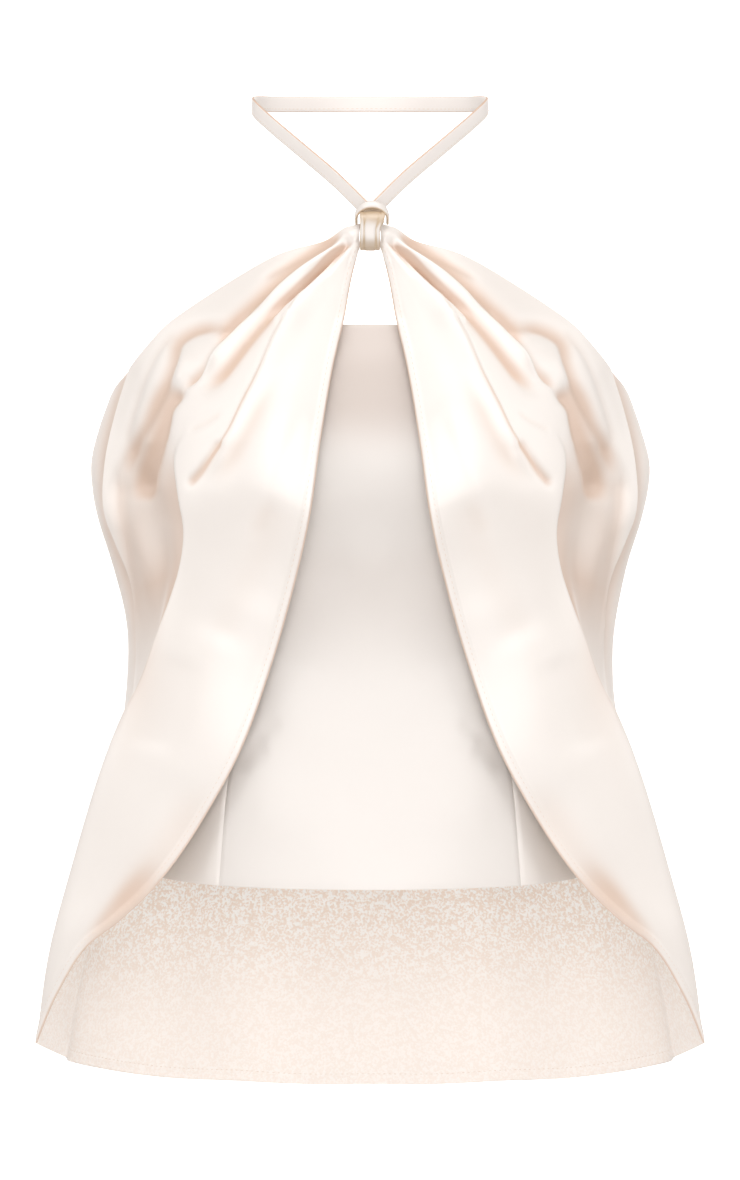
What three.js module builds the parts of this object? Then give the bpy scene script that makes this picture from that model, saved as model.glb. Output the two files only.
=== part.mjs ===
import * as THREE from 'three';

// A satin halter neck top as it hangs when worn, with nothing inside it: every piece is a thin wall.
// Millimetres, +Z up, -Y is the front. The origin is on the inside of the neck strap at the nape.
// Rails are the lines that a maker would mark on the cloth. Each point of a rail says how far it lies
// out from the centre line, to the front of the nape (minus is behind it) and down from the nape.

const SEAM_GAP = 0.5;
const SATIN_WALL = 1.5;
const BODICE_WALL = 1.5;
const SEAM_PULL = [1, 0.35];
const GATHER_BULK = 2;
const GATHER_REACH = 16;
const HEM_FOLD = 0.7;
// Where the bodice front's seams lie in its section, from 0 at the right side seam to 1 at the left one
const BODICE_SEAMS = { right: 0.25, left: 0.75, end: 1 };
const BODICE_SEAM_SHARE = 0.0035;
const STRAP = { width: 8.4, thickness: 1.6, steps: 84, leanIn: 0.2, leanBack: 0.5, leanFrom: 0.16, leanTo: 0.34 };
const ARCH = { centre: 1, halfWidth: 8, width: 5, thickness: 2.2, steps: 22, leanFront: 0.6, leanUp: 0.8 };
const ARCH_LINE = [
  { reach: 1, front: 126.6, down: 74.4 },
  { reach: 1, front: 130, down: 69.5 },
  { reach: 0.7, front: 130.6, down: 66.4 },
  { reach: 0, front: 130.8, down: 65.6 },
];
const TAB = { centre: 0, width: 8.6, thickness: 1.8, steps: 30 };

const FRONT_GRID = { across: 27, down: 33, armholeSteps: 10 };
const BACK_GRID = { across: 29, down: FRONT_GRID.down - FRONT_GRID.armholeSteps };
const BODICE_GRID = { front: 13, side: 7, back: 21, down: 15 };

const RAIL_STEPS = 400;
const SECTION_STEPS = 160;
const STRAP_LENGTH_STEPS = 600;
const FLAT = [[-1, -1], [1, -1], [1, 1], [-1, 1]];
const ROUND_STEPS = 10;
const ROUND = Array.from({ length: ROUND_STEPS }, (_, k) => {
  const turn = (2 * Math.PI * k) / ROUND_STEPS;
  return [Math.cos(turn), Math.sin(turn)];
});

const SATIN = { color: 0xf6ebe2, roughness: 0.34, metalness: 0 };
const BODICE_SATIN = { color: 0xefe3d9, roughness: 0.42, metalness: 0 };
const STRAP_SATIN = { color: 0xf8eee8, roughness: 0.38, metalness: 0 };

const at = (out, front, down) => new THREE.Vector3(out, -front, -down);

// The overlay's front panel: its free centre-front edge, from the knot to the corner of the hem
const FRONT_EDGE = rail([
  { out: 7.6, front: 128, down: 88 },
  { out: 9, front: 131, down: 101 },
  { out: 13, front: 138, down: 124 },
  { out: 19, front: 149, down: 151 },
  { out: 25, front: 160, down: 188 },
  { out: 30, front: 161, down: 224 },
  { out: 38, front: 150, down: 259 },
  { out: 50, front: 140, down: 301 },
  { out: 66, front: 136, down: 345 },
  { out: 85, front: 131, down: 379 },
  { out: 106, front: 124, down: 409 },
  { out: 130, front: 111, down: 434 },
  { out: 147, front: 100, down: 448 },
  { out: 164, front: 80, down: 475 },
  { out: 176, front: 58, down: 502 },
]);

// The line where the panel stands furthest out: over the bust, then down the hanging fold
const CREST = rail([
  { out: 7.6, front: 129.5, down: 82.5 },
  { out: 19, front: 134, down: 94 },
  { out: 33, front: 141, down: 108 },
  { out: 45, front: 149, down: 133 },
  { out: 56, front: 156, down: 155 },
  { out: 68, front: 158, down: 176 },
  { out: 81, front: 154, down: 197 },
  { out: 91, front: 147, down: 216 },
  { out: 96, front: 140, down: 236 },
  { out: 101, front: 134, down: 260 },
  { out: 112, front: 127, down: 287 },
  { out: 125, front: 117, down: 320 },
  { out: 141, front: 104, down: 361 },
  { out: 158, front: 84, down: 414 },
  { out: 169, front: 72, down: 455 },
  { out: 176.4, front: 57, down: 502.4 },
]);

// The flank behind the crest, hollow below the bust
const FLANK = rail([
  { out: 7.6, front: 128.6, down: 78.5 },
  { out: 21, front: 127, down: 86 },
  { out: 38, front: 126, down: 97 },
  { out: 58, front: 127, down: 113 },
  { out: 77, front: 125, down: 132 },
  { out: 95, front: 119, down: 152 },
  { out: 109, front: 110, down: 176 },
  { out: 116, front: 101, down: 200 },
  { out: 112, front: 100, down: 222 },
  { out: 110, front: 100, down: 240 },
  { out: 112, front: 98, down: 263 },
  { out: 116, front: 93, down: 290 },
  { out: 122, front: 87, down: 320 },
  { out: 133, front: 77, down: 361 },
  { out: 148, front: 60, down: 414 },
  { out: 160, front: 47, down: 460 },
  { out: 171, front: 37, down: 508 },
]);

// The armhole edge from the knot to the top of the side seam, and the seam itself
const ARMHOLE_EDGE = rail([
  { out: 7.6, front: 127, down: 75 },
  { out: 14, front: 122, down: 77 },
  { out: 28, front: 115, down: 83 },
  { out: 49, front: 107, down: 90 },
  { out: 75, front: 98, down: 104 },
  { out: 97, front: 89, down: 118 },
  { out: 107, front: 83, down: 125 },
  { out: 121, front: 70, down: 139 },
  { out: 127, front: 62, down: 146 },
]);
const SIDE_SEAM = rail([
  { out: 127, front: 62, down: 146 },
  { out: 134, front: 60, down: 168 },
  { out: 140, front: 59, down: 194 },
  { out: 141, front: 59, down: 219 },
  { out: 136, front: 58, down: 238 },
  { out: 130, front: 57, down: 262 },
  { out: 127, front: 55, down: 290 },
  { out: 127, front: 52, down: 318 },
  { out: 131, front: 47, down: 352 },
  { out: 139, front: 38, down: 395 },
  { out: 148, front: 29, down: 436 },
  { out: 157, front: 21, down: 476 },
  { out: 164, front: 16, down: 514 },
]);

// The overlay's back: its widest line, the line between side and centre, and the centre back
const BACK_WIDE = rail([
  { out: 138, front: 31, down: 161 },
  { out: 144.5, front: 30, down: 180 },
  { out: 148.5, front: 30, down: 197 },
  { out: 146, front: 30, down: 213 },
  { out: 142.5, front: 30, down: 227 },
  { out: 133, front: 28, down: 257 },
  { out: 127, front: 25, down: 290 },
  { out: 127.5, front: 22, down: 316 },
  { out: 131, front: 18, down: 340 },
  { out: 138, front: 12, down: 372 },
  { out: 145, front: 4, down: 415 },
  { out: 151, front: -4, down: 465 },
  { out: 157, front: -9.5, down: 520 },
]);
const BACK_QUARTER = rail([
  { out: 104, front: -20, down: 172 },
  { out: 110, front: -24, down: 195 },
  { out: 108, front: -22, down: 230 },
  { out: 98, front: -14, down: 265 },
  { out: 92, front: -9, down: 295 },
  { out: 94, front: -12, down: 325 },
  { out: 102, front: -24, down: 370 },
  { out: 108, front: -40, down: 425 },
  { out: 110, front: -54, down: 480 },
  { out: 112.5, front: -62, down: 533.5 },
]);
const BACK_CENTRE = rail([
  { out: 0, front: -46, down: 178 },
  { out: 0, front: -52, down: 205 },
  { out: 0, front: -48, down: 240 },
  { out: 0, front: -38, down: 275 },
  { out: 0, front: -34, down: 300 },
  { out: 0, front: -40, down: 330 },
  { out: 0, front: -56, down: 375 },
  { out: 0, front: -74, down: 430 },
  { out: 0, front: -87, down: 485 },
  { out: 0, front: -95, down: 541 },
]);

// The bodice under the overlay, a plain tube: centre front, princess seam, side seam and back lines
const BODICE_CENTRE = rail([
  { out: 0, front: 134, down: 127 },
  { out: 0, front: 145, down: 152 },
  { out: 0, front: 152, down: 185 },
  { out: 0, front: 150, down: 212 },
  { out: 0, front: 142, down: 242 },
  { out: 0, front: 135, down: 275 },
  { out: 0, front: 132, down: 300 },
  { out: 0, front: 133, down: 340 },
  { out: 0, front: 136, down: 380 },
  { out: 0, front: 140, down: 416 },
]);
const BODICE_PRINCESS = rail([
  { out: 70, front: 116, down: 131 },
  { out: 75, front: 128, down: 158 },
  { out: 77, front: 138, down: 188 },
  { out: 73, front: 135, down: 218 },
  { out: 68, front: 128, down: 255 },
  { out: 65, front: 123, down: 290 },
  { out: 68, front: 123, down: 325 },
  { out: 74, front: 123, down: 367 },
  { out: 78, front: 122, down: 415 },
]);
const BODICE_SIDE = rail([
  { out: 122.5, front: 60, down: 150 },
  { out: 129, front: 58, down: 175 },
  { out: 132, front: 57, down: 200 },
  { out: 130, front: 57, down: 220 },
  { out: 123, front: 57, down: 242 },
  { out: 116, front: 57, down: 266 },
  { out: 112, front: 57, down: 290 },
  { out: 112, front: 56, down: 312 },
  { out: 117, front: 55, down: 345 },
  { out: 124, front: 54, down: 380 },
  { out: 129, front: 53, down: 412 },
]);
const BODICE_WIDE = rail([
  { out: 135.6, front: 31, down: 162 },
  { out: 137.5, front: 30, down: 180 },
  { out: 137, front: 30, down: 200 },
  { out: 133, front: 30, down: 222 },
  { out: 126, front: 29, down: 245 },
  { out: 119, front: 28, down: 270 },
  { out: 115, front: 27, down: 292 },
  { out: 116, front: 26, down: 315 },
  { out: 121, front: 24, down: 345 },
  { out: 128, front: 22, down: 380 },
  { out: 134, front: 20, down: 412 },
]);
const BODICE_QUARTER = rail([
  { out: 102.8, front: -18.2, down: 173 },
  { out: 102, front: -18, down: 195 },
  { out: 98, front: -15, down: 225 },
  { out: 88, front: -8, down: 260 },
  { out: 83, front: -3, down: 290 },
  { out: 86, front: -6, down: 325 },
  { out: 93, front: -15, down: 370 },
  { out: 98, front: -24, down: 412 },
]);
const BODICE_BACK_CENTRE = rail([
  { out: 0, front: -44, down: 179 },
  { out: 0, front: -44, down: 205 },
  { out: 0, front: -38, down: 240 },
  { out: 0, front: -30, down: 275 },
  { out: 0, front: -27, down: 300 },
  { out: 0, front: -31, down: 330 },
  { out: 0, front: -40, down: 375 },
  { out: 0, front: -47, down: 412 },
]);

// Folds of a front panel, seen from the front. Height is out of the cloth, minus for a trough;
// inner and outer are the fold's reach towards the centre front and towards the side.
const FRONT_FOLDS = [
  { name: 'ridge from the knot', height: 3.4, inner: 4, outer: 5, route: [[8, 80], [30, 96], [54, 115], [68, 128]] },
  { name: 'deep fold under it', height: -5, inner: 5.5, outer: 5, route: [[14, 89], [39, 109], [55, 123], [74, 147], [90, 165]] },
  { name: 'band above the ridge', height: -2, inner: 5, outer: 6, route: [[16, 82], [36, 93], [66, 121], [88, 150], [102, 161]] },
  { name: 'overlap from knot to flank', height: 4, inner: 5, outer: 12, route: [[30, 103], [45, 125], [60, 152], [79, 190], [94, 211]] },
  { name: 'hollow beside the overlap', height: -3.6, inner: 11, outer: 7, route: [[34, 126], [50, 153], [69, 186], [88, 216]] },
  { name: 'first side fold', height: -2, inner: 5, outer: 5, route: [[92, 125], [100, 140], [109, 160], [130, 203]] },
  { name: 'broad side fold', height: -3.4, inner: 8, outer: 8, route: [[90, 154], [103, 162], [108, 176], [113, 200]] },
  { name: 'short side fold', height: -3, inner: 6, outer: 6, route: [[84, 175], [96, 180], [102, 192], [104, 206]] },
  { name: 'valley along the side seam', height: -4.5, inner: 7, outer: 5, route: [[131, 216], [130, 236], [124, 262], [121, 290], [122, 318]] },
  { name: 'soft band to the waist', height: -3.4, inner: 14, outer: 14, route: [[40, 205], [58, 248], [80, 292], [92, 330]] },
  { name: 'swell beside the edge', height: 2.6, inner: 10, outer: 16, route: [[50, 262], [68, 312], [100, 372]] },
  { name: 'hollow along the lower edge', height: -5, inner: 13, outer: 15, route: [[82, 340], [110, 390], [132, 422], [150, 446], [166, 478]] },
];

const BACK_FLUTES = [
  { name: 'flute beside the centre', height: 2.4, inner: 20, outer: 24, route: [[24, 350], [30, 430], [36, 560]] },
  { name: 'hollow at the quarter', height: -2.6, inner: 18, outer: 18, route: [[62, 340], [70, 430], [76, 560]] },
  { name: 'flute towards the side', height: 2.4, inner: 16, outer: 20, route: [[96, 330], [110, 430], [116, 560]] },
  { name: 'crease at the waist', height: -1.8, inner: 9, outer: 9, route: [[10, 268], [60, 283], [118, 300]] },
];

const FOLD_SAMPLES = 28;
const FOLD_FADE = 0.16;
// How far the panel swells between its free edge and its crest, and which way
const SWELL_WAY = { out: 0.35, front: 0.93 };
const PANEL_SWELL = [
  { level: 0, swell: 0 },
  { level: 0.2, swell: 4 },
  { level: 0.42, swell: 6 },
  { level: 0.62, swell: 6 },
  { level: 0.85, swell: 4 },
  { level: 1, swell: 0 },
];

function rail(rows) {
  const curve = new THREE.CatmullRomCurve3(rows.map((row) => at(row.out, row.front, row.down)));
  curve.arcLengthDivisions = RAIL_STEPS;
  return curve;
}

function smoothStep(low, high, value) {
  const part = THREE.MathUtils.clamp((value - low) / (high - low), 0, 1);
  return part * part * (3 - 2 * part);
}

function fromTable(rows, column, level) {
  const next = Math.max(1, rows.findIndex((row) => row.level >= level));
  const before = rows[next - 1];
  const after = rows[next];
  const part = smoothStep(before.level, after.level, level);
  return THREE.MathUtils.lerp(before[column], after[column], part);
}

function foldRoute(fold) {
  const curve = new THREE.CatmullRomCurve3(fold.route.map(([out, down]) => new THREE.Vector3(out, down, 0)));
  return { ...fold, line: curve.getSpacedPoints(FOLD_SAMPLES) };
}

// How far the folds move the cloth out of its plain form, at a place seen from the front or the back
function foldHeight(folds, out, down) {
  let height = 0;
  for (const fold of folds) {
    let nearest = { distance: Infinity, along: 0, side: 1 };
    for (let i = 0; i < FOLD_SAMPLES; i += 1) {
      const a = fold.line[i];
      const b = fold.line[i + 1];
      const run = { x: b.x - a.x, y: b.y - a.y };
      const length2 = run.x * run.x + run.y * run.y;
      const part = THREE.MathUtils.clamp(((out - a.x) * run.x + (down - a.y) * run.y) / length2, 0, 1);
      const gap = { x: out - a.x - run.x * part, y: down - a.y - run.y * part };
      const distance = Math.hypot(gap.x, gap.y);
      if (distance < nearest.distance) {
        nearest = { distance, along: (i + part) / FOLD_SAMPLES, side: Math.sign(run.y * gap.x - run.x * gap.y) };
      }
    }
    const reach = nearest.side > 0 ? fold.outer : fold.inner;
    const fade = smoothStep(0, FOLD_FADE, nearest.along) * smoothStep(0, FOLD_FADE, 1 - nearest.along);
    height += fold.height * fade * Math.exp(-((nearest.distance / reach) ** 2));
  }
  return height;
}

// Unit normals of a grid of points, pointing to the side that columns-by-rows turns to
function gridNormals(grid) {
  const last = { row: grid.length - 1, column: grid[0].length - 1 };
  return grid.map((row, r) => row.map((_, c) => {
    const along = grid[r][Math.min(c + 1, last.column)].clone().sub(grid[r][Math.max(c - 1, 0)]);
    const down = grid[Math.min(r + 1, last.row)][c].clone().sub(grid[Math.max(r - 1, 0)][c]);
    return down.cross(along).normalize();
  }));
}

function makeGrid(rows, columns, point) {
  return Array.from({ length: rows }, (_, r) => (
    Array.from({ length: columns }, (_, c) => point(r / (rows - 1), c / (columns - 1)))
  ));
}

function moveOut(grid, distance) {
  const normals = gridNormals(grid);
  return grid.map((row, r) => row.map((point, c) => (
    point.clone().addScaledVector(normals[r][c], distance(point, r / (grid.length - 1), c / (row.length - 1)))
  )));
}

// A closed wall of cloth between an outer grid and the same grid moved inwards by its thickness
function wallGeometry(outer, thickness, mirrored = false) {
  const inner = moveOut(outer, (point, level, across) => -thickness(level, across));
  const rows = outer.length;
  const columns = outer[0].length;
  const positions = [];
  for (const layer of [outer, inner]) {
    for (const point of layer.flat()) {
      positions.push(mirrored ? -point.x : point.x, point.y, point.z);
    }
  }
  const index = (layer, r, c) => layer * rows * columns + r * columns + c;
  const faces = [];
  const quad = (a, b, c, d) => faces.push(a, b, c, a, c, d);
  for (let r = 0; r < rows - 1; r += 1) {
    for (let c = 0; c < columns - 1; c += 1) {
      quad(index(0, r, c), index(0, r + 1, c), index(0, r + 1, c + 1), index(0, r, c + 1));
      quad(index(1, r, c), index(1, r, c + 1), index(1, r + 1, c + 1), index(1, r + 1, c));
    }
  }
  for (let c = 0; c < columns - 1; c += 1) {
    quad(index(0, 0, c), index(0, 0, c + 1), index(1, 0, c + 1), index(1, 0, c));
    quad(index(0, rows - 1, c), index(1, rows - 1, c), index(1, rows - 1, c + 1), index(0, rows - 1, c + 1));
  }
  for (let r = 0; r < rows - 1; r += 1) {
    quad(index(0, r, 0), index(1, r, 0), index(1, r + 1, 0), index(0, r + 1, 0));
    quad(index(0, r, columns - 1), index(0, r + 1, columns - 1), index(1, r + 1, columns - 1), index(1, r, columns - 1));
  }
  return indexed(positions, mirrored ? faces.reverse() : faces);
}

function indexed(positions, faces) {
  const geometry = new THREE.BufferGeometry();
  geometry.setAttribute('position', new THREE.Float32BufferAttribute(positions, 3));
  geometry.setIndex(faces);
  geometry.computeVertexNormals();
  return geometry;
}

// A band along a path; its width runs along the direction that "across" gives at each step
function bandGeometry(path, across, { width, thickness, steps }, corners) {
  const positions = [];
  const faces = [];
  const count = corners.length;
  for (let s = 0; s <= steps; s += 1) {
    const part = s / steps;
    const tangent = path.getTangentAt(part);
    const side = across(part).addScaledVector(tangent, -across(part).dot(tangent)).normalize();
    const face = tangent.clone().cross(side);
    for (const [u, v] of corners) {
      const corner = path.getPointAt(part).addScaledVector(side, (u * width) / 2);
      positions.push(...corner.addScaledVector(face, (v * thickness) / 2).toArray());
    }
  }
  for (let s = 0; s < steps; s += 1) {
    for (let k = 0; k < count; k += 1) {
      const a = s * count + k;
      const b = s * count + ((k + 1) % count);
      faces.push(a, b, b + count, a, b + count, a + count);
    }
  }
  for (let k = 1; k < count - 1; k += 1) {
    const end = steps * count;
    faces.push(0, k + 1, k, end, end + k, end + k + 1);
  }
  return indexed(positions, faces);
}

function piece(name, geometry, finish) {
  const mesh = new THREE.Mesh(geometry, new THREE.MeshStandardMaterial({ ...finish, side: THREE.DoubleSide }));
  mesh.name = name;
  return mesh;
}

// The side of a front panel is the armhole's edge down to the underarm, and the side seam from there on
function frontSide(level) {
  const underarm = FRONT_GRID.armholeSteps / (FRONT_GRID.down - 1);
  if (level < underarm) {
    return ARMHOLE_EDGE.getPointAt(level / underarm);
  }
  return SIDE_SEAM.getPointAt((level - underarm) / (1 - underarm));
}

// One section across a front panel, from the free edge over the crest to the side
function frontSection(level) {
  const edge = FRONT_EDGE.getPointAt(level);
  const crest = CREST.getPointAt(level);
  const swell = fromTable(PANEL_SWELL, 'swell', level);
  const middle = edge.clone().lerp(crest, 0.5).add(at(SWELL_WAY.out * swell, SWELL_WAY.front * swell, 0));
  const section = new THREE.CatmullRomCurve3([edge, middle, crest, FLANK.getPointAt(level), frontSide(level)]);
  section.arcLengthDivisions = SECTION_STEPS;
  return section;
}

function frontPanelGrid() {
  const folds = FRONT_FOLDS.map(foldRoute);
  const { across, down } = FRONT_GRID;
  const plain = Array.from({ length: down }, (_, r) => frontSection(r / (down - 1)).getSpacedPoints(across - 1));
  return moveOut(plain, (point) => foldHeight(folds, point.x, -point.z));
}

function frontWallThickness(level, across) {
  const railLength = FRONT_EDGE.getLength();
  const bulk = GATHER_BULK * Math.exp(-((level * railLength) / GATHER_REACH));
  return SATIN_WALL + bulk + (across === 0 ? HEM_FOLD : 0);
}

function frontPanels(grid) {
  return [
    piece('front_left', wallGeometry(grid, frontWallThickness), SATIN),
    piece('front_right', wallGeometry(grid, frontWallThickness, true), SATIN),
  ];
}

function mirror(point) {
  return new THREE.Vector3(-point.x, point.y, point.z);
}

// A section right across the back through four rails, drawn in from both side seams by the gap
function backSection(rails, level) {
  const points = rails.map((line) => line.getPointAt(level));
  const section = new THREE.CatmullRomCurve3([...points, ...points.slice(0, -1).reverse().map(mirror)]);
  section.arcLengthDivisions = SECTION_STEPS;
  return section;
}

function backGrid(rails, rows, columns) {
  return makeGrid(rows, columns, (level, across) => {
    const section = backSection(rails, level);
    const gap = SEAM_GAP / section.getLength();
    return section.getPointAt(THREE.MathUtils.lerp(gap, 1 - gap, across));
  });
}

// The front's folds pull its side seam in, and the back panel's edge follows them
function pullSeams(grid, frontGrid) {
  grid.forEach((row, r) => {
    const level = r / (grid.length - 1);
    const pull = frontGrid[FRONT_GRID.armholeSteps + r].at(-1).clone().sub(SIDE_SEAM.getPointAt(level));
    SEAM_PULL.forEach((share, c) => {
      row[c].addScaledVector(pull, share);
      row.at(-1 - c).addScaledVector(mirror(pull), share);
    });
  });
}

function backPanel(frontGrid) {
  const flutes = BACK_FLUTES.map(foldRoute);
  const rails = [SIDE_SEAM, BACK_WIDE, BACK_QUARTER, BACK_CENTRE];
  const plain = backGrid(rails, BACK_GRID.down, BACK_GRID.across);
  const grid = moveOut(plain, (point) => -foldHeight(flutes, Math.abs(point.x), -point.z));
  pullSeams(grid, frontGrid);
  return piece('back_panel', wallGeometry(reversedRows(grid), () => SATIN_WALL), SATIN);
}

function reversedRows(grid) {
  return grid.map((row) => row.slice().reverse());
}

// Part of the bodice's front between two lines of its section, from 0 at the right side to 1 at the left
function bodiceFrontPart(name, from, to, columns, mirrored = false) {
  const grid = makeGrid(BODICE_GRID.down, columns, (level, across) => {
    const side = [BODICE_SIDE, BODICE_PRINCESS].map((line) => line.getPointAt(level));
    const middle = BODICE_CENTRE.getPointAt(level);
    const section = new THREE.CatmullRomCurve3([...side.map(mirror), middle, ...side.reverse()]);
    return section.getPoint(THREE.MathUtils.lerp(from, to, across));
  });
  return piece(name, wallGeometry(grid, () => BODICE_WALL, mirrored), BODICE_SATIN);
}

function bodice() {
  const seam = BODICE_SEAM_SHARE / 2;
  const { right, left, end } = BODICE_SEAMS;
  const back = backGrid([BODICE_SIDE, BODICE_WIDE, BODICE_QUARTER, BODICE_BACK_CENTRE], BODICE_GRID.down, BODICE_GRID.back);
  return [
    bodiceFrontPart('bodice_front', right + seam, left - seam, BODICE_GRID.front),
    bodiceFrontPart('bodice_side_left', left + seam, end - seam, BODICE_GRID.side),
    bodiceFrontPart('bodice_side_right', left + seam, end - seam, BODICE_GRID.side, true),
    piece('bodice_back', wallGeometry(reversedRows(back), () => BODICE_WALL), BODICE_SATIN),
  ];
}

// The strap leaves the knot, crosses the collar line in a straight pull and goes round the nape
const STRAP_HALF = [
  { out: 2.8, front: 123.9, down: 66.7 },
  { out: 18, front: 108.5, down: 50.5 },
  { out: 36, front: 89, down: 33.5 },
  { out: 54, front: 69.5, down: 16.5 },
  { out: 61.5, front: 56, down: 8 },
  { out: 60.5, front: 38, down: 4.2 },
  { out: 50, front: 18, down: 2.2 },
  { out: 31, front: 4.5, down: 0.8 },
];

function neckStrap() {
  const half = STRAP_HALF.map((row) => at(row.out, row.front, row.down));
  const nape = at(0, -STRAP.thickness / 2, 0);
  const path = new THREE.CatmullRomCurve3([...half, nape, ...half.slice().reverse().map(mirror)]);
  path.arcLengthDivisions = STRAP_LENGTH_STEPS;
  // The band stands on its edge round the neck and lies back a little over the chest
  const across = (part) => {
    const side = Math.cos(part * Math.PI);
    const lean = smoothStep(STRAP.leanFrom, STRAP.leanTo, Math.abs(part - 0.5));
    return new THREE.Vector3(-STRAP.leanIn * side * lean, -STRAP.leanBack * lean, 1);
  };
  return piece('neck_strap', bandGeometry(path, across, STRAP, FLAT), STRAP_SATIN);
}

// A short soft band bent into an arch; its two feet stand on the tops of the gathered panels
function archLoop() {
  const right = ARCH_LINE.map((row) => at(ARCH.centre - row.reach * ARCH.halfWidth, row.front, row.down));
  const left = ARCH_LINE.slice(0, -1).map((row) => at(ARCH.centre + row.reach * ARCH.halfWidth, row.front, row.down));
  const path = new THREE.CatmullRomCurve3([...right, ...left.reverse()]);
  const tilted = () => new THREE.Vector3(0, ARCH.leanFront, ARCH.leanUp);
  return piece('arch_loop', bandGeometry(path, tilted, ARCH, ROUND), STRAP_SATIN);
}

// A folded tab hangs from the strap's ends, through the arch, over the front and back up behind
const TAB_PROFILE = [
  { front: 125.6, down: 66.6 },
  { front: 126.6, down: 69.2 },
  { front: 130.6, down: 69.6 },
  { front: 134.2, down: 72.4 },
  { front: 135.8, down: 78 },
  { front: 135.4, down: 84.5 },
  { front: 133, down: 87.8 },
  { front: 129.4, down: 88.2 },
  { front: 126.2, down: 86 },
  { front: 124.6, down: 81 },
  { front: 124.6, down: 72.4 },
];

function centreTab() {
  const path = new THREE.CatmullRomCurve3(TAB_PROFILE.map((row) => at(TAB.centre, row.front, row.down)));
  const level = () => new THREE.Vector3(1, 0, 0);
  return piece('centre_tab', bandGeometry(path, level, TAB, FLAT), STRAP_SATIN);
}

const front = frontPanelGrid();
const top = new THREE.Group();
top.add(...frontPanels(front), backPanel(front), ...bodice(), neckStrap(), archLoop(), centreTab());
export default top;
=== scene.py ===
"""A champagne satin halter neck top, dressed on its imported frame.

Lengths in the tables are millimetres in the garment's own terms: how far a point lies out from the
centre line, to the front of the nape (minus is behind it) and down from the nape. Every mesh is in
metres, +Z up and -Y to the front, with the origin on the inside of the neck strap at the nape.
"""

import logging
import math
from abc import ABC, abstractmethod
from dataclasses import dataclass, replace
from enum import Enum
from typing import Callable, Sequence

import bpy
import numpy as np
from mathutils import Matrix, Vector

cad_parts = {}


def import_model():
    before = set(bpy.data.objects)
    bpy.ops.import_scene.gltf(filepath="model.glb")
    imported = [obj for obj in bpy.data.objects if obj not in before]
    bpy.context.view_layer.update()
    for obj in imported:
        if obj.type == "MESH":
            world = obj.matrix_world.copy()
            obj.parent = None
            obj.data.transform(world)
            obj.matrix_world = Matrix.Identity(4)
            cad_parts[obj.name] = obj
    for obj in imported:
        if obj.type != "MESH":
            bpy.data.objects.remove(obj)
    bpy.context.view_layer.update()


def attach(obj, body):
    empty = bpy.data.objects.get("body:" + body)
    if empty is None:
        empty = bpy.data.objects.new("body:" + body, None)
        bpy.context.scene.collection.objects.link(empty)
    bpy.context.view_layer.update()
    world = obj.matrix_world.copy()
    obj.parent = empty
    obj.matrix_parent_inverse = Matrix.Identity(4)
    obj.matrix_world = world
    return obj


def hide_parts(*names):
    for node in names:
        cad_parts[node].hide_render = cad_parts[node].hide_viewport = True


LOG = logging.getLogger("halter_top")
MM = 0.001
BODY = "root"
# Name of the per-point attribute that paints shade into the satin's colour.
PAINTED_SHADE_ATTRIBUTE = "hollow_and_painted_shade"
SPAN_SAMPLES = 40
# Sum of weighted trough steepness at which a point's painted shade is full.
FULL_PAINTED_SHADE = 0.75

Array = np.ndarray
Colour = tuple[float, float, float]
Table = Sequence[tuple[float, float, float]]


class Side(Enum):
    """The wearer's two sides; the value is the sign of X there."""

    LEFT = 1
    RIGHT = -1


class Face(Enum):
    """Which side of the cloth a finish is for; the value is the mesh's material index."""

    RIGHT_SIDE = 0
    WRONG_SIDE = 1


# Curves and surfaces


def smooth_step(low: float, high: float, value: Array | float) -> Array | float:
    """Rises smoothly from 0 at low to 1 at high.

    Args:
        low: value at which the result leaves 0.
        high: value at which the result reaches 1.
        value: a number or an array of them.

    Returns:
        The eased share, of value's own shape.
    """
    part = np.clip((np.asarray(value, float) - low) / (high - low), 0.0, 1.0)
    return part * part * (3 - 2 * part)


def bell(distance: Array, reach: Array | float) -> Array:
    """Falls smoothly from 1 where the distance is 0 to about a third at reach."""
    return np.exp(-((distance / reach) ** 2))


def knot_gap(start: Array, end: Array) -> float:
    """The spacing that a centripetal curve gives to two of its points."""
    return max(math.sqrt(float(np.linalg.norm(end - start))), 1e-6)


def spline(points: Array, per_span: int = SPAN_SAMPLES) -> Array:
    """A centripetal Catmull-Rom curve through points.

    Args:
        points: the points that the curve passes through, one to a row.
        per_span: how many samples each span between two points gets.

    Returns:
        The samples, from the first point to the last.
    """
    padded = np.vstack([2 * points[0] - points[1], points, 2 * points[-1] - points[-2]])
    part = np.linspace(0, 1, per_span, endpoint=False)[:, None]
    samples = []
    for i in range(len(points) - 1):
        before, start, end, after = padded[i : i + 4]
        gap_in = knot_gap(before, start)
        gap = knot_gap(start, end)
        gap_out = knot_gap(end, after)
        leave = ((start - before) / gap_in - (end - before) / (gap_in + gap) + (end - start) / gap) * gap
        arrive = ((end - start) / gap - (after - start) / (gap + gap_out) + (after - end) / gap_out) * gap
        square = 3 * (end - start) - 2 * leave - arrive
        cube = 2 * (start - end) + leave + arrive
        samples.append(start + leave * part + square * part**2 + cube * part**3)
    return np.vstack([*samples, points[-1:]])


def run_of(steps: Array) -> Array:
    """The length run up to each point, from the steps between them along the last axis."""
    start = np.zeros((*steps.shape[:-1], 1))
    return np.concatenate([start, np.cumsum(steps, axis=-1)], axis=-1)


def blended(where: Array, marks: Array, rows: Array) -> Array:
    """Rows of x, y and z read off between their marks at the places where they are wanted."""
    return np.column_stack([np.interp(where, marks, rows[:, k]) for k in range(3)])


def along(samples: Array, shares: Array) -> Array:
    """Points at shares of a sampled curve's length.

    Args:
        samples: the curve's samples, one to a row.
        shares: shares of its length, from 0 to 1.

    Returns:
        One point for each share.
    """
    run = run_of(np.linalg.norm(np.diff(samples, axis=0), axis=1))
    return blended(shares * run[-1], run, samples)


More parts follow.
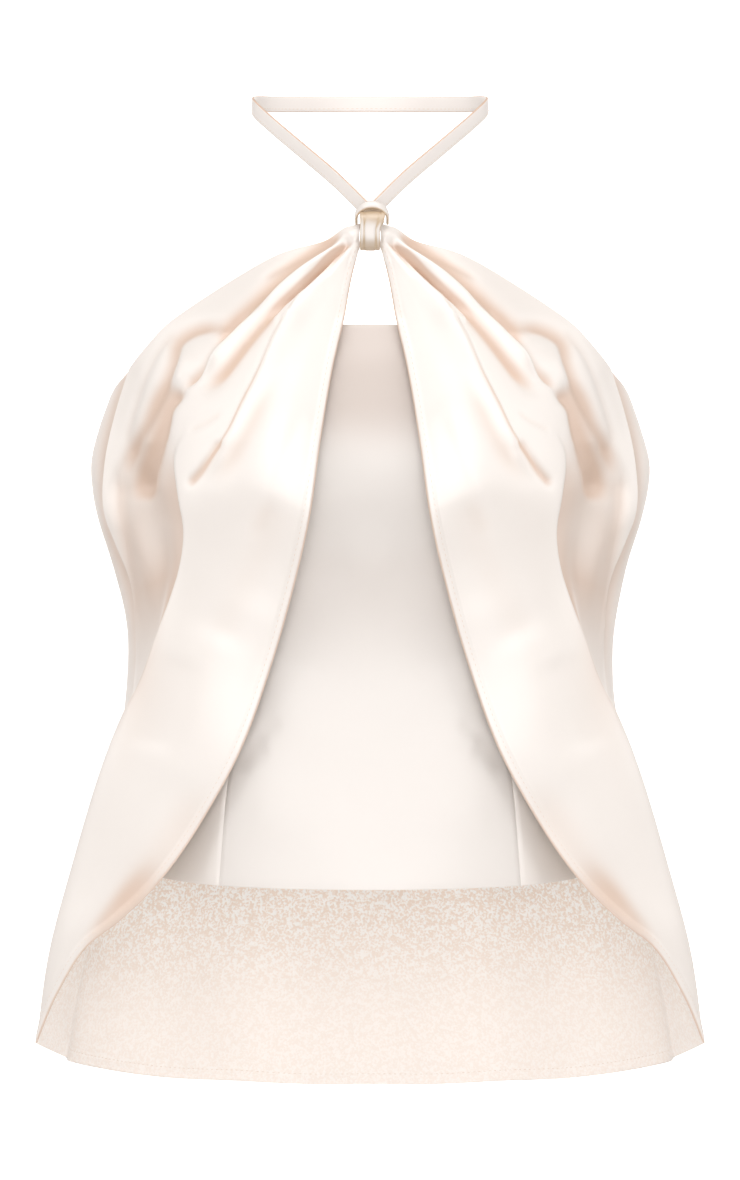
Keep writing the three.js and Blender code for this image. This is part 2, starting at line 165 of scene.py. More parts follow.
def unit(vectors: Array) -> Array:
    """The vectors of the last axis brought to a length of 1."""
    return vectors / np.maximum(np.linalg.norm(vectors, axis=-1, keepdims=True), 1e-9)


class Rail:
    """A line marked on the cloth, given by a table of out, front and down in millimetres."""

    def __init__(self, table: Table) -> None:
        """Keeps the rail's samples; each row of the table is (out, front, down)."""
        rows = np.array(table, float)
        self.samples = spline(rows * [1, -1, -1])

    def at(self, levels: Array) -> Array:
        """Points at shares of the rail's length, as rows of x, y and z in millimetres."""
        return along(self.samples, np.atleast_1d(levels))


@dataclass(frozen=True)
class Fold:
    """A ridge or, with a minus height, a trough in the cloth, seen from the front or the back.

    inner and outer are its reach towards the centre line and towards the side, ends is the share of
    its length over which it fades in and out, and painted_shade is how much more painted shade than a
    plain fold's it puts into the colour of its trough. All lengths are in millimetres.
    """

    name: str
    height: float
    inner: float
    outer: float
    route: tuple[tuple[float, float], ...]
    ends: tuple[float, float] = (0.16, 0.16)
    painted_shade: float = 1

    SAMPLES = 24
    PIECES = 32

    def rise(self, out: Array, down: Array) -> Array:
        """How far the fold lifts the cloth.

        Args:
            out: each point's distance from the centre line, in millimetres.
            down: each point's distance below the nape, in millimetres.

        Returns:
            The lift of each point, in millimetres.
        """
        flat = np.array([(a, b, 0.0) for a, b in self.route])
        line = along(spline(flat, self.SAMPLES), np.linspace(0, 1, self.PIECES + 1))[:, :2]
        start = line[:-1]
        run = np.diff(line, axis=0)
        gap_x = out[:, None] - start[:, 0]
        gap_y = down[:, None] - start[:, 1]
        part = np.clip((gap_x * run[:, 0] + gap_y * run[:, 1]) / (run**2).sum(axis=1), 0, 1)
        gap_x -= part * run[:, 0]
        gap_y -= part * run[:, 1]
        distance = np.hypot(gap_x, gap_y)
        best = distance.argmin(axis=1)
        rows = np.arange(len(out))
        side = run[best, 1] * gap_x[rows, best] - run[best, 0] * gap_y[rows, best]
        reach = np.where(side > 0, self.outer, self.inner)
        share = (best + part[rows, best]) / len(run)
        fade = smooth_step(0, self.ends[0], share) * smooth_step(0, self.ends[1], 1 - share)
        return self.height * fade * bell(distance[rows, best], reach)


@dataclass(frozen=True)
class Groove:
    """A narrow line pressed into the cloth; its depth and its reach are in millimetres."""

    depth: float
    reach: float

    def at(self, distance: Array) -> Array:
        """How far it moves points at a distance from it."""
        return -self.depth * bell(distance, self.reach)


def grid_normals(grid: Array) -> Array:
    """Unit normals of a grid of points, on the side that turns from its rows to its columns."""
    return unit(np.cross(np.gradient(grid, axis=0), np.gradient(grid, axis=1)))


def move_out(grid: Array, distance: Array) -> Array:
    """The grid moved along its normals by a distance for each point."""
    return grid + grid_normals(grid) * distance[..., None]


def woven_between(rails: Sequence[Array], columns: Callable[[float], Array]) -> Array:
    """A grid of points on smooth sections through several rails.

    Args:
        rails: each rail's points, one for each row of the grid.
        columns: gives the shares across a section of a given length in millimetres.

    Returns:
        The grid, rows by columns by three.
    """
    rows = []
    for points in np.stack(rails, axis=1):
        samples = spline(points)
        length = float(np.linalg.norm(np.diff(samples, axis=0), axis=1).sum())
        rows.append(along(samples, columns(length)))
    return np.array(rows)


def both_halves(half: Sequence[Array]) -> list[Array]:
    """Rails from the wearer's left side to the centre line, and their mirrors on the right."""
    return [*half, *(points * [-1, 1, 1] for points in half[-2::-1])]


def run_across(grid: Array) -> Array:
    """Each point's distance from its row's first point, measured along the row."""
    return run_of(np.linalg.norm(np.diff(grid, axis=1), axis=2))


def run_down(grid: Array) -> Array:
    """Each row's mean distance from the first row, measured down the cloth."""
    return run_of(np.linalg.norm(np.diff(grid, axis=0), axis=2).mean(axis=1))


def inside_seams(gap: float, columns: int) -> Callable[[float], Array]:
    """Even columns that start and stop a hair inside a piece's two seams.

    Args:
        gap: how far inside, in millimetres.
        columns: how many columns there are.

    Returns:
        What gives the shares across a section of a given length.
    """

    def shares(length: float) -> Array:
        """Shares across a section of this length in millimetres."""
        return np.linspace(gap / length, 1 - gap / length, columns)

    return shares


def slack(grid: Array, height: float, wave: float, phase: float) -> Array:
    """Slow unevenness of hanging cloth, made of a few crossing waves.

    Args:
        grid: the cloth's points in millimetres.
        height: about how far the cloth stands in or out.
        wave: about how far apart its swells are.
        phase: shifts the pattern, so that no two pieces are alike.

    Returns:
        The distance for each point of the grid.
    """
    x, y, z = np.moveaxis(grid, -1, 0)
    k = 2 * math.pi / wave
    broad = np.sin(k * (x * 0.9 + z * 0.35) + phase)
    broad *= np.sin(k * (z * 0.55 - y * 0.4) + 2.1 * phase)
    short = np.sin(k * 1.9 * (y * 0.8 + z * 0.3) + 3.3 * phase)
    short *= np.sin(k * 1.6 * (x * 0.5 - z * 0.6) + phase)
    return height * (0.7 * broad + 0.3 * short)


def folded(folds: Sequence[Fold], grid: Array) -> tuple[Array, Array]:
    """What folds do to a cloth.

    Args:
        folds: the folds, seen from the front or the back.
        grid: the cloth's points in millimetres; both halves of a whole cloth get the same folds.

    Returns:
        How far the folds lift each point, and the painted shade that it gets between sharp folds, from 0 to
        1.
    """
    out = np.abs(grid[..., 0]).ravel()
    down = -grid[..., 2].ravel()
    rise = np.zeros(out.shape)
    # Painted shade: steep troughs darken the colour, each in proportion to its fold's painted_shade.
    painted_shade_sum = np.zeros(out.shape)
    for fold in folds:
        own = fold.rise(out, down)
        rise += own
        painted_shade_sum -= own * fold.painted_shade / (fold.inner + fold.outer)
    depth = np.clip(painted_shade_sum / FULL_PAINTED_SHADE, 0, 1)
    return rise.reshape(grid.shape[:2]), depth.reshape(grid.shape[:2])


# Modelling


def pick_nothing() -> None:
    """Leaves edit mode and deselects everything."""
    if bpy.context.object and bpy.context.object.mode != "OBJECT":
        bpy.ops.object.mode_set(mode="OBJECT")
    bpy.ops.object.select_all(action="DESELECT")


def work_on(piece: bpy.types.Object) -> None:
    """Selects one piece alone and makes it the active one.

    Args:
        piece: the piece to work on.
    """
    pick_nothing()
    piece.select_set(True)
    bpy.context.view_layer.objects.active = piece


def apply_modifier(piece: bpy.types.Object, kind: str, **settings: object) -> None:
    """Adds a modifier to a piece and applies it.

    Args:
        piece: the piece to change.
        kind: the modifier's type.
        settings: the modifier's own values.
    """
    work_on(piece)
    modifier = piece.modifiers.new(kind.title(), kind)
    for name, value in settings.items():
        setattr(modifier, name, value)
    bpy.ops.object.modifier_apply(modifier=modifier.name)


def grid_places(rows: int, columns: int) -> tuple[Array, Array]:
    """The row and the column of each vertex of a mesh that began as a rows by columns grid."""
    index = np.arange(rows * columns)
    return rows - 1 - index // columns, index % columns


def lay_grid(name: str, points: Array) -> bpy.types.Object:
    """Adds a flat grid and lays it on points, with its faces to the side that grid_normals gives.

    Args:
        name: the piece's name.
        points: rows by columns by three, in millimetres.

    Returns:
        The new object.
    """
    rows, columns = points.shape[:2]
    pick_nothing()
    bpy.ops.mesh.primitive_grid_add(x_subdivisions=columns - 1, y_subdivisions=rows - 1, size=2)
    piece = bpy.context.object
    piece.name = name
    piece.data.name = name
    row, column = grid_places(rows, columns)
    piece.data.vertices.foreach_set("co", (points[row, column] * MM).ravel())
    piece.data.update()
    face = piece.data.polygons[len(piece.data.polygons) // 2]
    corner = face.vertices[0]
    wanted = grid_normals(points)[row[corner], column[corner]]
    if face.normal.dot(Vector(wanted)) < 0:
        work_on(piece)
        bpy.ops.object.mode_set(mode="EDIT")
        bpy.ops.mesh.select_all(action="SELECT")
        bpy.ops.mesh.flip_normals()
        bpy.ops.object.mode_set(mode="OBJECT")
    return piece


def mirrored(points: Array) -> Array:
    """The same grid on the other side of the centre line, with its columns turned round."""
    return points[:, ::-1] * [-1, 1, 1]


def mark_painted_shade(piece: bpy.types.Object, hollow_and_painted_shade: Array) -> None:
    """Keeps each point's painted shade, as the piece's own attribute.

    Args:
        piece: a grid as lay_grid makes it, not yet thickened.
        hollow_and_painted_shade: rows by columns, painted shade from 0 on plain cloth to 1 in the deepest
            fold.
    """
    rows, columns = hollow_and_painted_shade.shape
    row, column = grid_places(rows, columns)
    attribute = piece.data.attributes.new(PAINTED_SHADE_ATTRIBUTE, "FLOAT", "POINT")
    attribute.data.foreach_set("value", hollow_and_painted_shade[row, column].astype(np.float32))


def cloth(
    name: str,
    points: Array,
    thickness: float,
    finishes: Sequence["Finish"],
    hollow_and_painted_shade: Array,
) -> bpy.types.Object:
    """A thin shell of cloth, whose wrong side has its own finish.

    Args:
        name: the piece's name.
        points: its right side, rows by columns by three, in millimetres.
        thickness: the cloth's thickness in millimetres.
        finishes: the right side's finish and the wrong side's.
        hollow_and_painted_shade: each point's painted shade, from 0 to 1, deepest in the folds.

    Returns:
        The new object.
    """
    piece = lay_grid(name, points)
    mark_painted_shade(piece, hollow_and_painted_shade)
    for finish in finishes:
        piece.data.materials.append(finish.material())
    apply_modifier(
        piece,
        "SOLIDIFY",
        thickness=thickness * MM,
        offset=-1,
        use_even_offset=False,
        material_offset=Face.WRONG_SIDE.value,
        material_offset_rim=Face.RIGHT_SIDE.value,
    )
    work_on(piece)
    bpy.ops.object.shade_smooth_by_angle(angle=math.radians(50))
    return piece


def band_frame(path: Array, across: Array) -> tuple[Array, Array]:
    """How a band lies along its path.

    Args:
        path: the band's middle line, one point to a row.
        across: about the direction of the band's width at each point.

    Returns:
        The unit directions of its width and of its face at each point.
    """
    tangent = unit(np.gradient(path, axis=0))
    side = unit(across - tangent * (across * tangent).sum(axis=1, keepdims=True))
    return side, np.cross(tangent, side)


def wrapped(name: str, path: Array, across: Array, section: Array, hollow_and_painted_shade: Array) -> bpy.types.Object:
    """A closed band: a section carried along a path, with both ends filled.

    Args:
        name: the piece's name.
        path: the band's middle line, one point to a row, in millimetres.
        across: the direction of the band's width at each point.
        section: the outline's points as width and thickness offsets in millimetres, or one such
            outline for each point of the path.
        hollow_and_painted_shade: the painted shade of each of its points, path by outline.

    Returns:
        The new object.
    """
    side, face = band_frame(path, across)
    outline = np.broadcast_to(section, (len(path), *section.shape[-2:]))
    closed = np.concatenate([outline, outline[:, :1]], axis=1)
    points = path[:, None] + side[:, None] * closed[..., :1] + face[:, None] * closed[..., 1:]
    piece = lay_grid(name, points)
    mark_painted_shade(piece, np.concatenate([hollow_and_painted_shade, hollow_and_painted_shade[:, :1]], axis=1))
    work_on(piece)
    bpy.ops.object.mode_set(mode="EDIT")
    bpy.ops.mesh.select_all(action="SELECT")
    bpy.ops.mesh.remove_doubles(threshold=1e-6)
    bpy.ops.mesh.select_all(action="DESELECT")
    bpy.ops.mesh.select_non_manifold()
    bpy.ops.mesh.fill_holes(sides=0)
    bpy.ops.mesh.select_all(action="SELECT")
    bpy.ops.mesh.normals_make_consistent(inside=False)
    bpy.ops.object.mode_set(mode="OBJECT")
    bpy.ops.object.shade_smooth_by_angle(angle=math.radians(60))
    return piece


def band_outline(width: float, thickness: float, steps: int = 28, square: float = 4.0) -> Array:
    """A flat band's section with softly rounded edges.

    Args:
        width: the band's full width in millimetres.
        thickness: its full thickness in millimetres.
        steps: how many points the outline has.
        square: how square its corners are; 2 is an ellipse.

    Returns:
        The outline's points as width and thickness offsets.
    """
    turn = np.linspace(0, 2 * math.pi, steps, endpoint=False)
    circle = np.column_stack([np.cos(turn), np.sin(turn)])
    return np.sign(circle) * np.abs(circle) ** (2 / square) * [width / 2, thickness / 2]


def edge_shade(outline: Array, strength: float, start: float = 0.86) -> Array:
    """How much painted shade a band gets towards its two edges.

    Args:
        outline: the band's section, as band_outline gives it.
        strength: the value at the very edge, from 0 to 1.
        start: the share of the half width at which it begins.

    Returns:
        One value for each point of the outline.
    """
    share = np.abs(outline[:, 0]) / np.abs(outline[:, 0]).max()
    return strength * smooth_step(start, 1, share)


@dataclass(frozen=True)
class Stitching:
    """A row of lockstitches, in millimetres."""

    length: float = 2.1
    pitch: float = 3.0
    thread: float = 0.34
    sunk: float = 0.1

    def stitch(self) -> bpy.types.Object:
        """Models one stitch, a small bead drawn out along X.

        Returns:
            The stitch, in millimetres.
        """
        pick_nothing()
        bpy.ops.mesh.primitive_uv_sphere_add(segments=6, ring_count=5, radius=0.5)
        bead = bpy.context.object
        bead.data.transform(Matrix.Diagonal((self.length, self.thread, self.thread, 1)))
        bpy.ops.object.shade_smooth()
        return bead

    def places(self, line: Array, up: Array) -> list[Matrix]:
        """Where each stitch of a row lies.

        Args:
            line: the row's line on the cloth, one point to a row, in millimetres.
            up: the cloth's normal at each of those points.

        Returns:
            One matrix for each stitch, from the stitch's millimetres to the garment's metres.
        """
        run = run_of(np.linalg.norm(np.diff(line, axis=0), axis=1))
        marks = np.arange(self.pitch, run[-1] - self.pitch / 2, self.pitch)
        centre = blended(marks, run, line)
        normal = unit(blended(marks, run, up))
        ahead = unit(blended(marks + 0.5, run, line) - centre)
        beside = np.cross(normal, ahead)
        centre = centre - normal * self.sunk
        frames = np.stack([ahead, beside, normal, centre], axis=2) * MM
        return [Matrix([*frame.tolist(), (0, 0, 0, 1)]) for frame in frames]

    def sew(self, name: str, line: Array, up: Array) -> bpy.types.Object:
        """Sews one row of stitches.

        Args:
            name: the piece's name.
            line: the row's line on the cloth, one point to a row, in millimetres.
            up: the cloth's normal at each of those points.

        Returns:
            The row, as one piece.
        """
        first = self.stitch()
        first_place, *others = self.places(line, up)
        for place in others:
            copy = first.copy()
            copy.data = first.data.copy()
            copy.data.transform(place)
            bpy.context.scene.collection.objects.link(copy)
            copy.select_set(True)
        first.data.transform(first_place)
        first.name = name
        first.data.name = name
        bpy.ops.object.join()
        return first


# Finishes


def socket_input(node: bpy.types.Node, **values: object) -> None:
    """Sets a node's inputs; underscores in a name stand for spaces."""
    for name, value in values.items():
        node.inputs[name.replace("_", " ")].default_value = value


class Shading:
    """A Principled material in the making, patterned on the garment's own millimetres."""

    def __init__(self, name: str) -> None:
        """Starts the material.

        Args:
            name: the material's name.
        """
        self.material = bpy.data.materials.new(name)
        self.material.use_nodes = True
        self.shader = self.material.node_tree.nodes["Principled BSDF"]
        self.place = self.node("TexCoord").outputs["Object"]

    def node(self, kind: str, **values: object) -> bpy.types.Node:
        """Adds a node.

        Args:
            kind: the node's type, without the words before it.
            values: its inputs' values.

        Returns:
            The new node.
        """
        node = self.material.node_tree.nodes.new(f"ShaderNode{kind}")
        socket_input(node, **values)
        return node

    def plug(self, output: bpy.types.NodeSocket, socket: bpy.types.NodeSocket) -> None:
        """Links one node's output to another's input."""
        self.material.node_tree.links.new(output, socket)

    def noise(
        self, scale: float, detail: float, roughness: float, stretch: Colour | None = None
    ) -> bpy.types.NodeSocket:
        """Adds a cloudy pattern.

        Args:
            scale: how many of its clouds there are to a metre.
            detail: how many finer layers it has.
            roughness: how strong those are.
            stretch: the pattern's scale along X, Y and Z, where it is drawn out.

        Returns:
            The pattern's value.
        """
        pattern = self.node("TexNoise", Scale=scale, Detail=detail, Roughness=roughness)
        if stretch is None:
            self.plug(self.place, pattern.inputs["Vector"])
            return pattern.outputs["Fac"]
        drawn = self.node("Mapping", Scale=stretch)
        self.plug(self.place, drawn.inputs["Vector"])
        self.plug(drawn.outputs["Vector"], pattern.inputs["Vector"])
        return pattern.outputs["Fac"]

    def ramp(self, value: bpy.types.NodeSocket, eased: bool = False, **limits: float) -> bpy.types.NodeSocket:
        """Adds a change of range.

        Args:
            value: what is brought to another range.
            eased: whether it rises smoothly and not in a straight line.
            limits: the ranges' ends, as the node names them.

        Returns:
            The value in its new range.
        """
        ramp = self.node("MapRange", **limits)
        if eased:
            ramp.interpolation_type = "SMOOTHSTEP"
        self.plug(value, ramp.inputs["Value"])
        return ramp.outputs["Result"]

    def mix(
        self,
        share: bpy.types.NodeSocket,
        plain: Colour | bpy.types.NodeSocket,
        full: Colour | bpy.types.NodeSocket,
    ) -> bpy.types.NodeSocket:
        """Adds a mix of two colours.

        Args:
            share: how much of the second colour there is.
            plain: the first colour, linear, or a node's output.
            full: the second one.

        Returns:
            The mixed colour.
        """
        mix = self.node("Mix")
        mix.data_type = "RGBA"
        self.plug(share, mix.inputs["Factor"])
        for name, colour in (("A", plain), ("B", full)):
            if isinstance(colour, bpy.types.NodeSocket):
                self.plug(colour, mix.inputs[name])
            else:
                mix.inputs[name].default_value = (*colour, 1)
        return mix.outputs["Result"]

    def finish(self, **sockets: bpy.types.NodeSocket) -> None:
        """Links outputs to the shader's sockets; underscores in a name stand for spaces."""
        for name, output in sockets.items():
            self.plug(output, self.shader.inputs[name.replace("_", " ")])

    def bump(self, height: bpy.types.NodeSocket, strength: float, distance: float) -> None:
        """Raises the surface by a pattern.

        Args:
            height: the pattern's value.
            strength: how much of the bump shows.
            distance: how far it rises, in millimetres.
        """
        bump = self.node("Bump", Strength=strength, Distance=distance * MM)
        self.plug(height, bump.inputs["Height"])
        self.finish(Normal=bump.outputs["Normal"])


@dataclass(frozen=True)
class Finish(ABC):
    """A finish with a name of its own. Its colours are linear and its lengths are millimetres."""

    name: str
    colour: Colour

    def material(self) -> bpy.types.Material:
        """Gives the finish's material, and builds it the first time.

        Returns:
            The material that all pieces with this finish share.
        """
        found = bpy.data.materials.get(self.name)
        if found:
            return found
        shading = Shading(self.name)
        self.paint(shading)
        return shading.material

    @abstractmethod
    def paint(self, shading: Shading) -> None:
        """Adds the finish's nodes."""


@dataclass(frozen=True)
class Satin(Finish):
    """Satin's right side: a smooth, softly glossy face with a fine weave.

    bloom is the colour of its lighter clouds, and shade is the painted shade colour that the piece's
    attribute mixes in deep inside folds and along shaded edges. grain is the size of the weave's
    unevenness, and depth is how far its bump rises.
    """

    bloom: Colour
    shade: Colour = (0.58, 0.36, 0.23)
    roughness: float = 0.4
    sheen: float = 0.25
    anisotropy: float = 0.35
    specular: float = 1.0
    ior: float = 1.7
    grain: float = 0.45
    depth: float = 0.02

    SHEEN_TINT = (1.0, 0.97, 0.94, 1.0)
    CLOUDS = 9.0
    LIE = (0.35, 0.35, 1.6)

    def paint(self, shading: Shading) -> None:
        """Adds clouds, painted shade in the folds, and threads that lie across the cloth.

        Args:
            shading: the material in the making.
        """
        socket_input(
            shading.shader,
            Anisotropic=self.anisotropy,
            Sheen_Weight=self.sheen,
            Sheen_Roughness=0.35,
            Sheen_Tint=self.SHEEN_TINT,
            Specular_IOR_Level=self.specular,
            IOR=self.ior,
        )
        tangent = shading.node("Tangent")
        tangent.direction_type = "UV_MAP"
        clouds = shading.noise(self.CLOUDS, detail=2.0, roughness=0.5)
        plain = shading.mix(clouds, self.colour, self.bloom)
        # Painted shade: the piece's attribute mixes the shade colour into the base colour.
        hollow_and_painted_shade = shading.node("Attribute")
        hollow_and_painted_shade.attribute_name = PAINTED_SHADE_ATTRIBUTE
        depth = hollow_and_painted_shade.outputs["Fac"]
        deep = shading.ramp(depth, eased=True, From_Min=0.05, From_Max=0.95, To_Min=0.0, To_Max=0.85)
        colour = shading.mix(deep, plain, self.shade)
        threads = shading.noise(1 / (self.grain * MM), detail=3.0, roughness=0.6, stretch=self.LIE)
        glossiest = self.roughness - 0.05
        dullest = self.roughness + 0.07
        gloss = shading.ramp(threads, From_Min=0.3, From_Max=0.7, To_Min=glossiest, To_Max=dullest)
        shading.finish(Tangent=tangent.outputs["Tangent"], Base_Color=colour, Roughness=gloss)
        shading.bump(threads, strength=0.35, distance=self.depth)


@dataclass(frozen=True)
class WrongSide(Finish):
    """Satin's wrong side: matt and crepe-like, with small bright flecks.

    light is the flecks' colour, and even is the cloth's where they have faded. fleck and pebble are
    sizes, and the flecks fade between the heights full_above and plain_below.
    """

    light: Colour
    even: Colour
    fleck: float = 1.3
    pebble: float = 2.6
    full_above: float = -425
    plain_below: float = -500
    depth: float = 0.25

    def paint(self, shading: Shading) -> None:
        """Adds flecks of two sizes, which are glossier than the ground and fade towards the hem.

        Args:
            shading: the material in the making.
        """
        socket_input(shading.shader, Sheen_Weight=0.15, Sheen_Roughness=0.5, Specular_IOR_Level=0.5)
        both = shading.node("Math")
        both.operation = "ADD"
        for socket, size in zip(both.inputs, (self.fleck, self.pebble)):
            shading.plug(shading.noise(1 / (size * MM), detail=2.0, roughness=0.6), socket)
        flecks = both.outputs["Value"]
        bright = shading.ramp(flecks, From_Min=0.88, From_Max=1.14)
        height = shading.node("SeparateXYZ")
        shading.plug(shading.place, height.inputs["Vector"])
        up = height.outputs["Z"]
        low = self.plain_below * MM
        high = self.full_above * MM
        fade = shading.ramp(up, eased=True, From_Min=low, From_Max=high, To_Min=0.25, To_Max=1.0)
        speckled = shading.mix(bright, self.colour, self.light)
        colour = shading.mix(fade, self.even, speckled)
        gloss = shading.ramp(flecks, From_Min=0.9, From_Max=1.15, To_Min=0.7, To_Max=0.28)
        shading.finish(Base_Color=colour, Roughness=gloss)
        shading.bump(flecks, strength=0.5, distance=self.depth)


@dataclass(frozen=True)
class Thread(Finish):
    """Sewing thread, a little darker and more matt than the satin; twist is the size of its twist."""

    twist: float = 0.4
    lighter: float = 1.12

    def paint(self, shading: Shading) -> None:
        """Adds the twisted thread's lighter flecks.

        Args:
            shading: the material in the making.
        """
        socket_input(shading.shader, Roughness=0.6, Sheen_Weight=0.3)
        twist = shading.noise(1 / (self.twist * MM), detail=2.0, roughness=0.5)
        light = tuple(min(1.0, part * self.lighter) for part in self.colour)
        shading.finish(Base_Color=shading.mix(twist, self.colour, light))


@dataclass(frozen=True)
class Paper(Finish):
    """Plain matt studio paper, with a glow where its own lamps light it."""

    glow: float = 0.0

    def paint(self, shading: Shading) -> None:
        """Sets the paper's colour and its glow.

        Args:
            shading: the material in the making.
        """
        socket_input(shading.shader, Base_Color=(*self.colour, 1), Roughness=0.9)
        socket_input(shading.shader, Emission_Color=(1, 1, 1, 1), Emission_Strength=self.glow)


SATIN = Satin(
    "champagne_satin", colour=(0.8, 0.735, 0.685), bloom=(0.82, 0.765, 0.72), roughness=0.5, ior=2.1
)
# A darker, less glossy copy of the champagne satin for the bodice's centre front and back, whose flat front
# faces the lamps square on: painted shade.
BODICE_SATIN = Satin(
    "bodice_champagne_satin",
    colour=(0.72, 0.675, 0.64),
    bloom=(0.75, 0.705, 0.67),
    shade=(0.5, 0.41, 0.36),
    roughness=0.5,
    sheen=0.2,
    ior=1.6,
)
STRAP_SATIN = Satin(
    "strap_champagne_satin",
    colour=(0.8, 0.745, 0.71),
    bloom=(0.83, 0.78, 0.745),
    roughness=0.48,
    anisotropy=0.2,
)
# A darker copy of the strap's satin for the knot, which sits where the lamps fall brightest: painted shade.
# Its golden shade colour is painted shade too.
KNOT_SATIN = Satin(
    "knot_champagne_satin",
    colour=(0.66, 0.61, 0.57),
    bloom=(0.7, 0.65, 0.61),
    shade=(0.46, 0.31, 0.16),
    roughness=0.42,
    anisotropy=0.2,
)
INSIDE = WrongSide(
    "satin_wrong_side", colour=(0.87, 0.745, 0.65), light=(1.0, 0.98, 0.95), even=(0.96, 0.89, 0.84)
)
THREAD = Thread("champagne_thread", colour=(0.72, 0.59, 0.49))


def dress(piece: bpy.types.Object, slot: str, *finishes: Finish) -> None:
    """Gives a piece any finishes it still lacks, and lets it ride on the garment.

    Args:
        piece: the piece to finish.
        slot: not used.
        finishes: the finishes to add.
    """
    for finish in finishes:
        piece.data.materials.append(finish.material())
    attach(piece, BODY)
    LOG.info("%s: %d faces", piece.name, len(piece.data.polygons))


# The garment


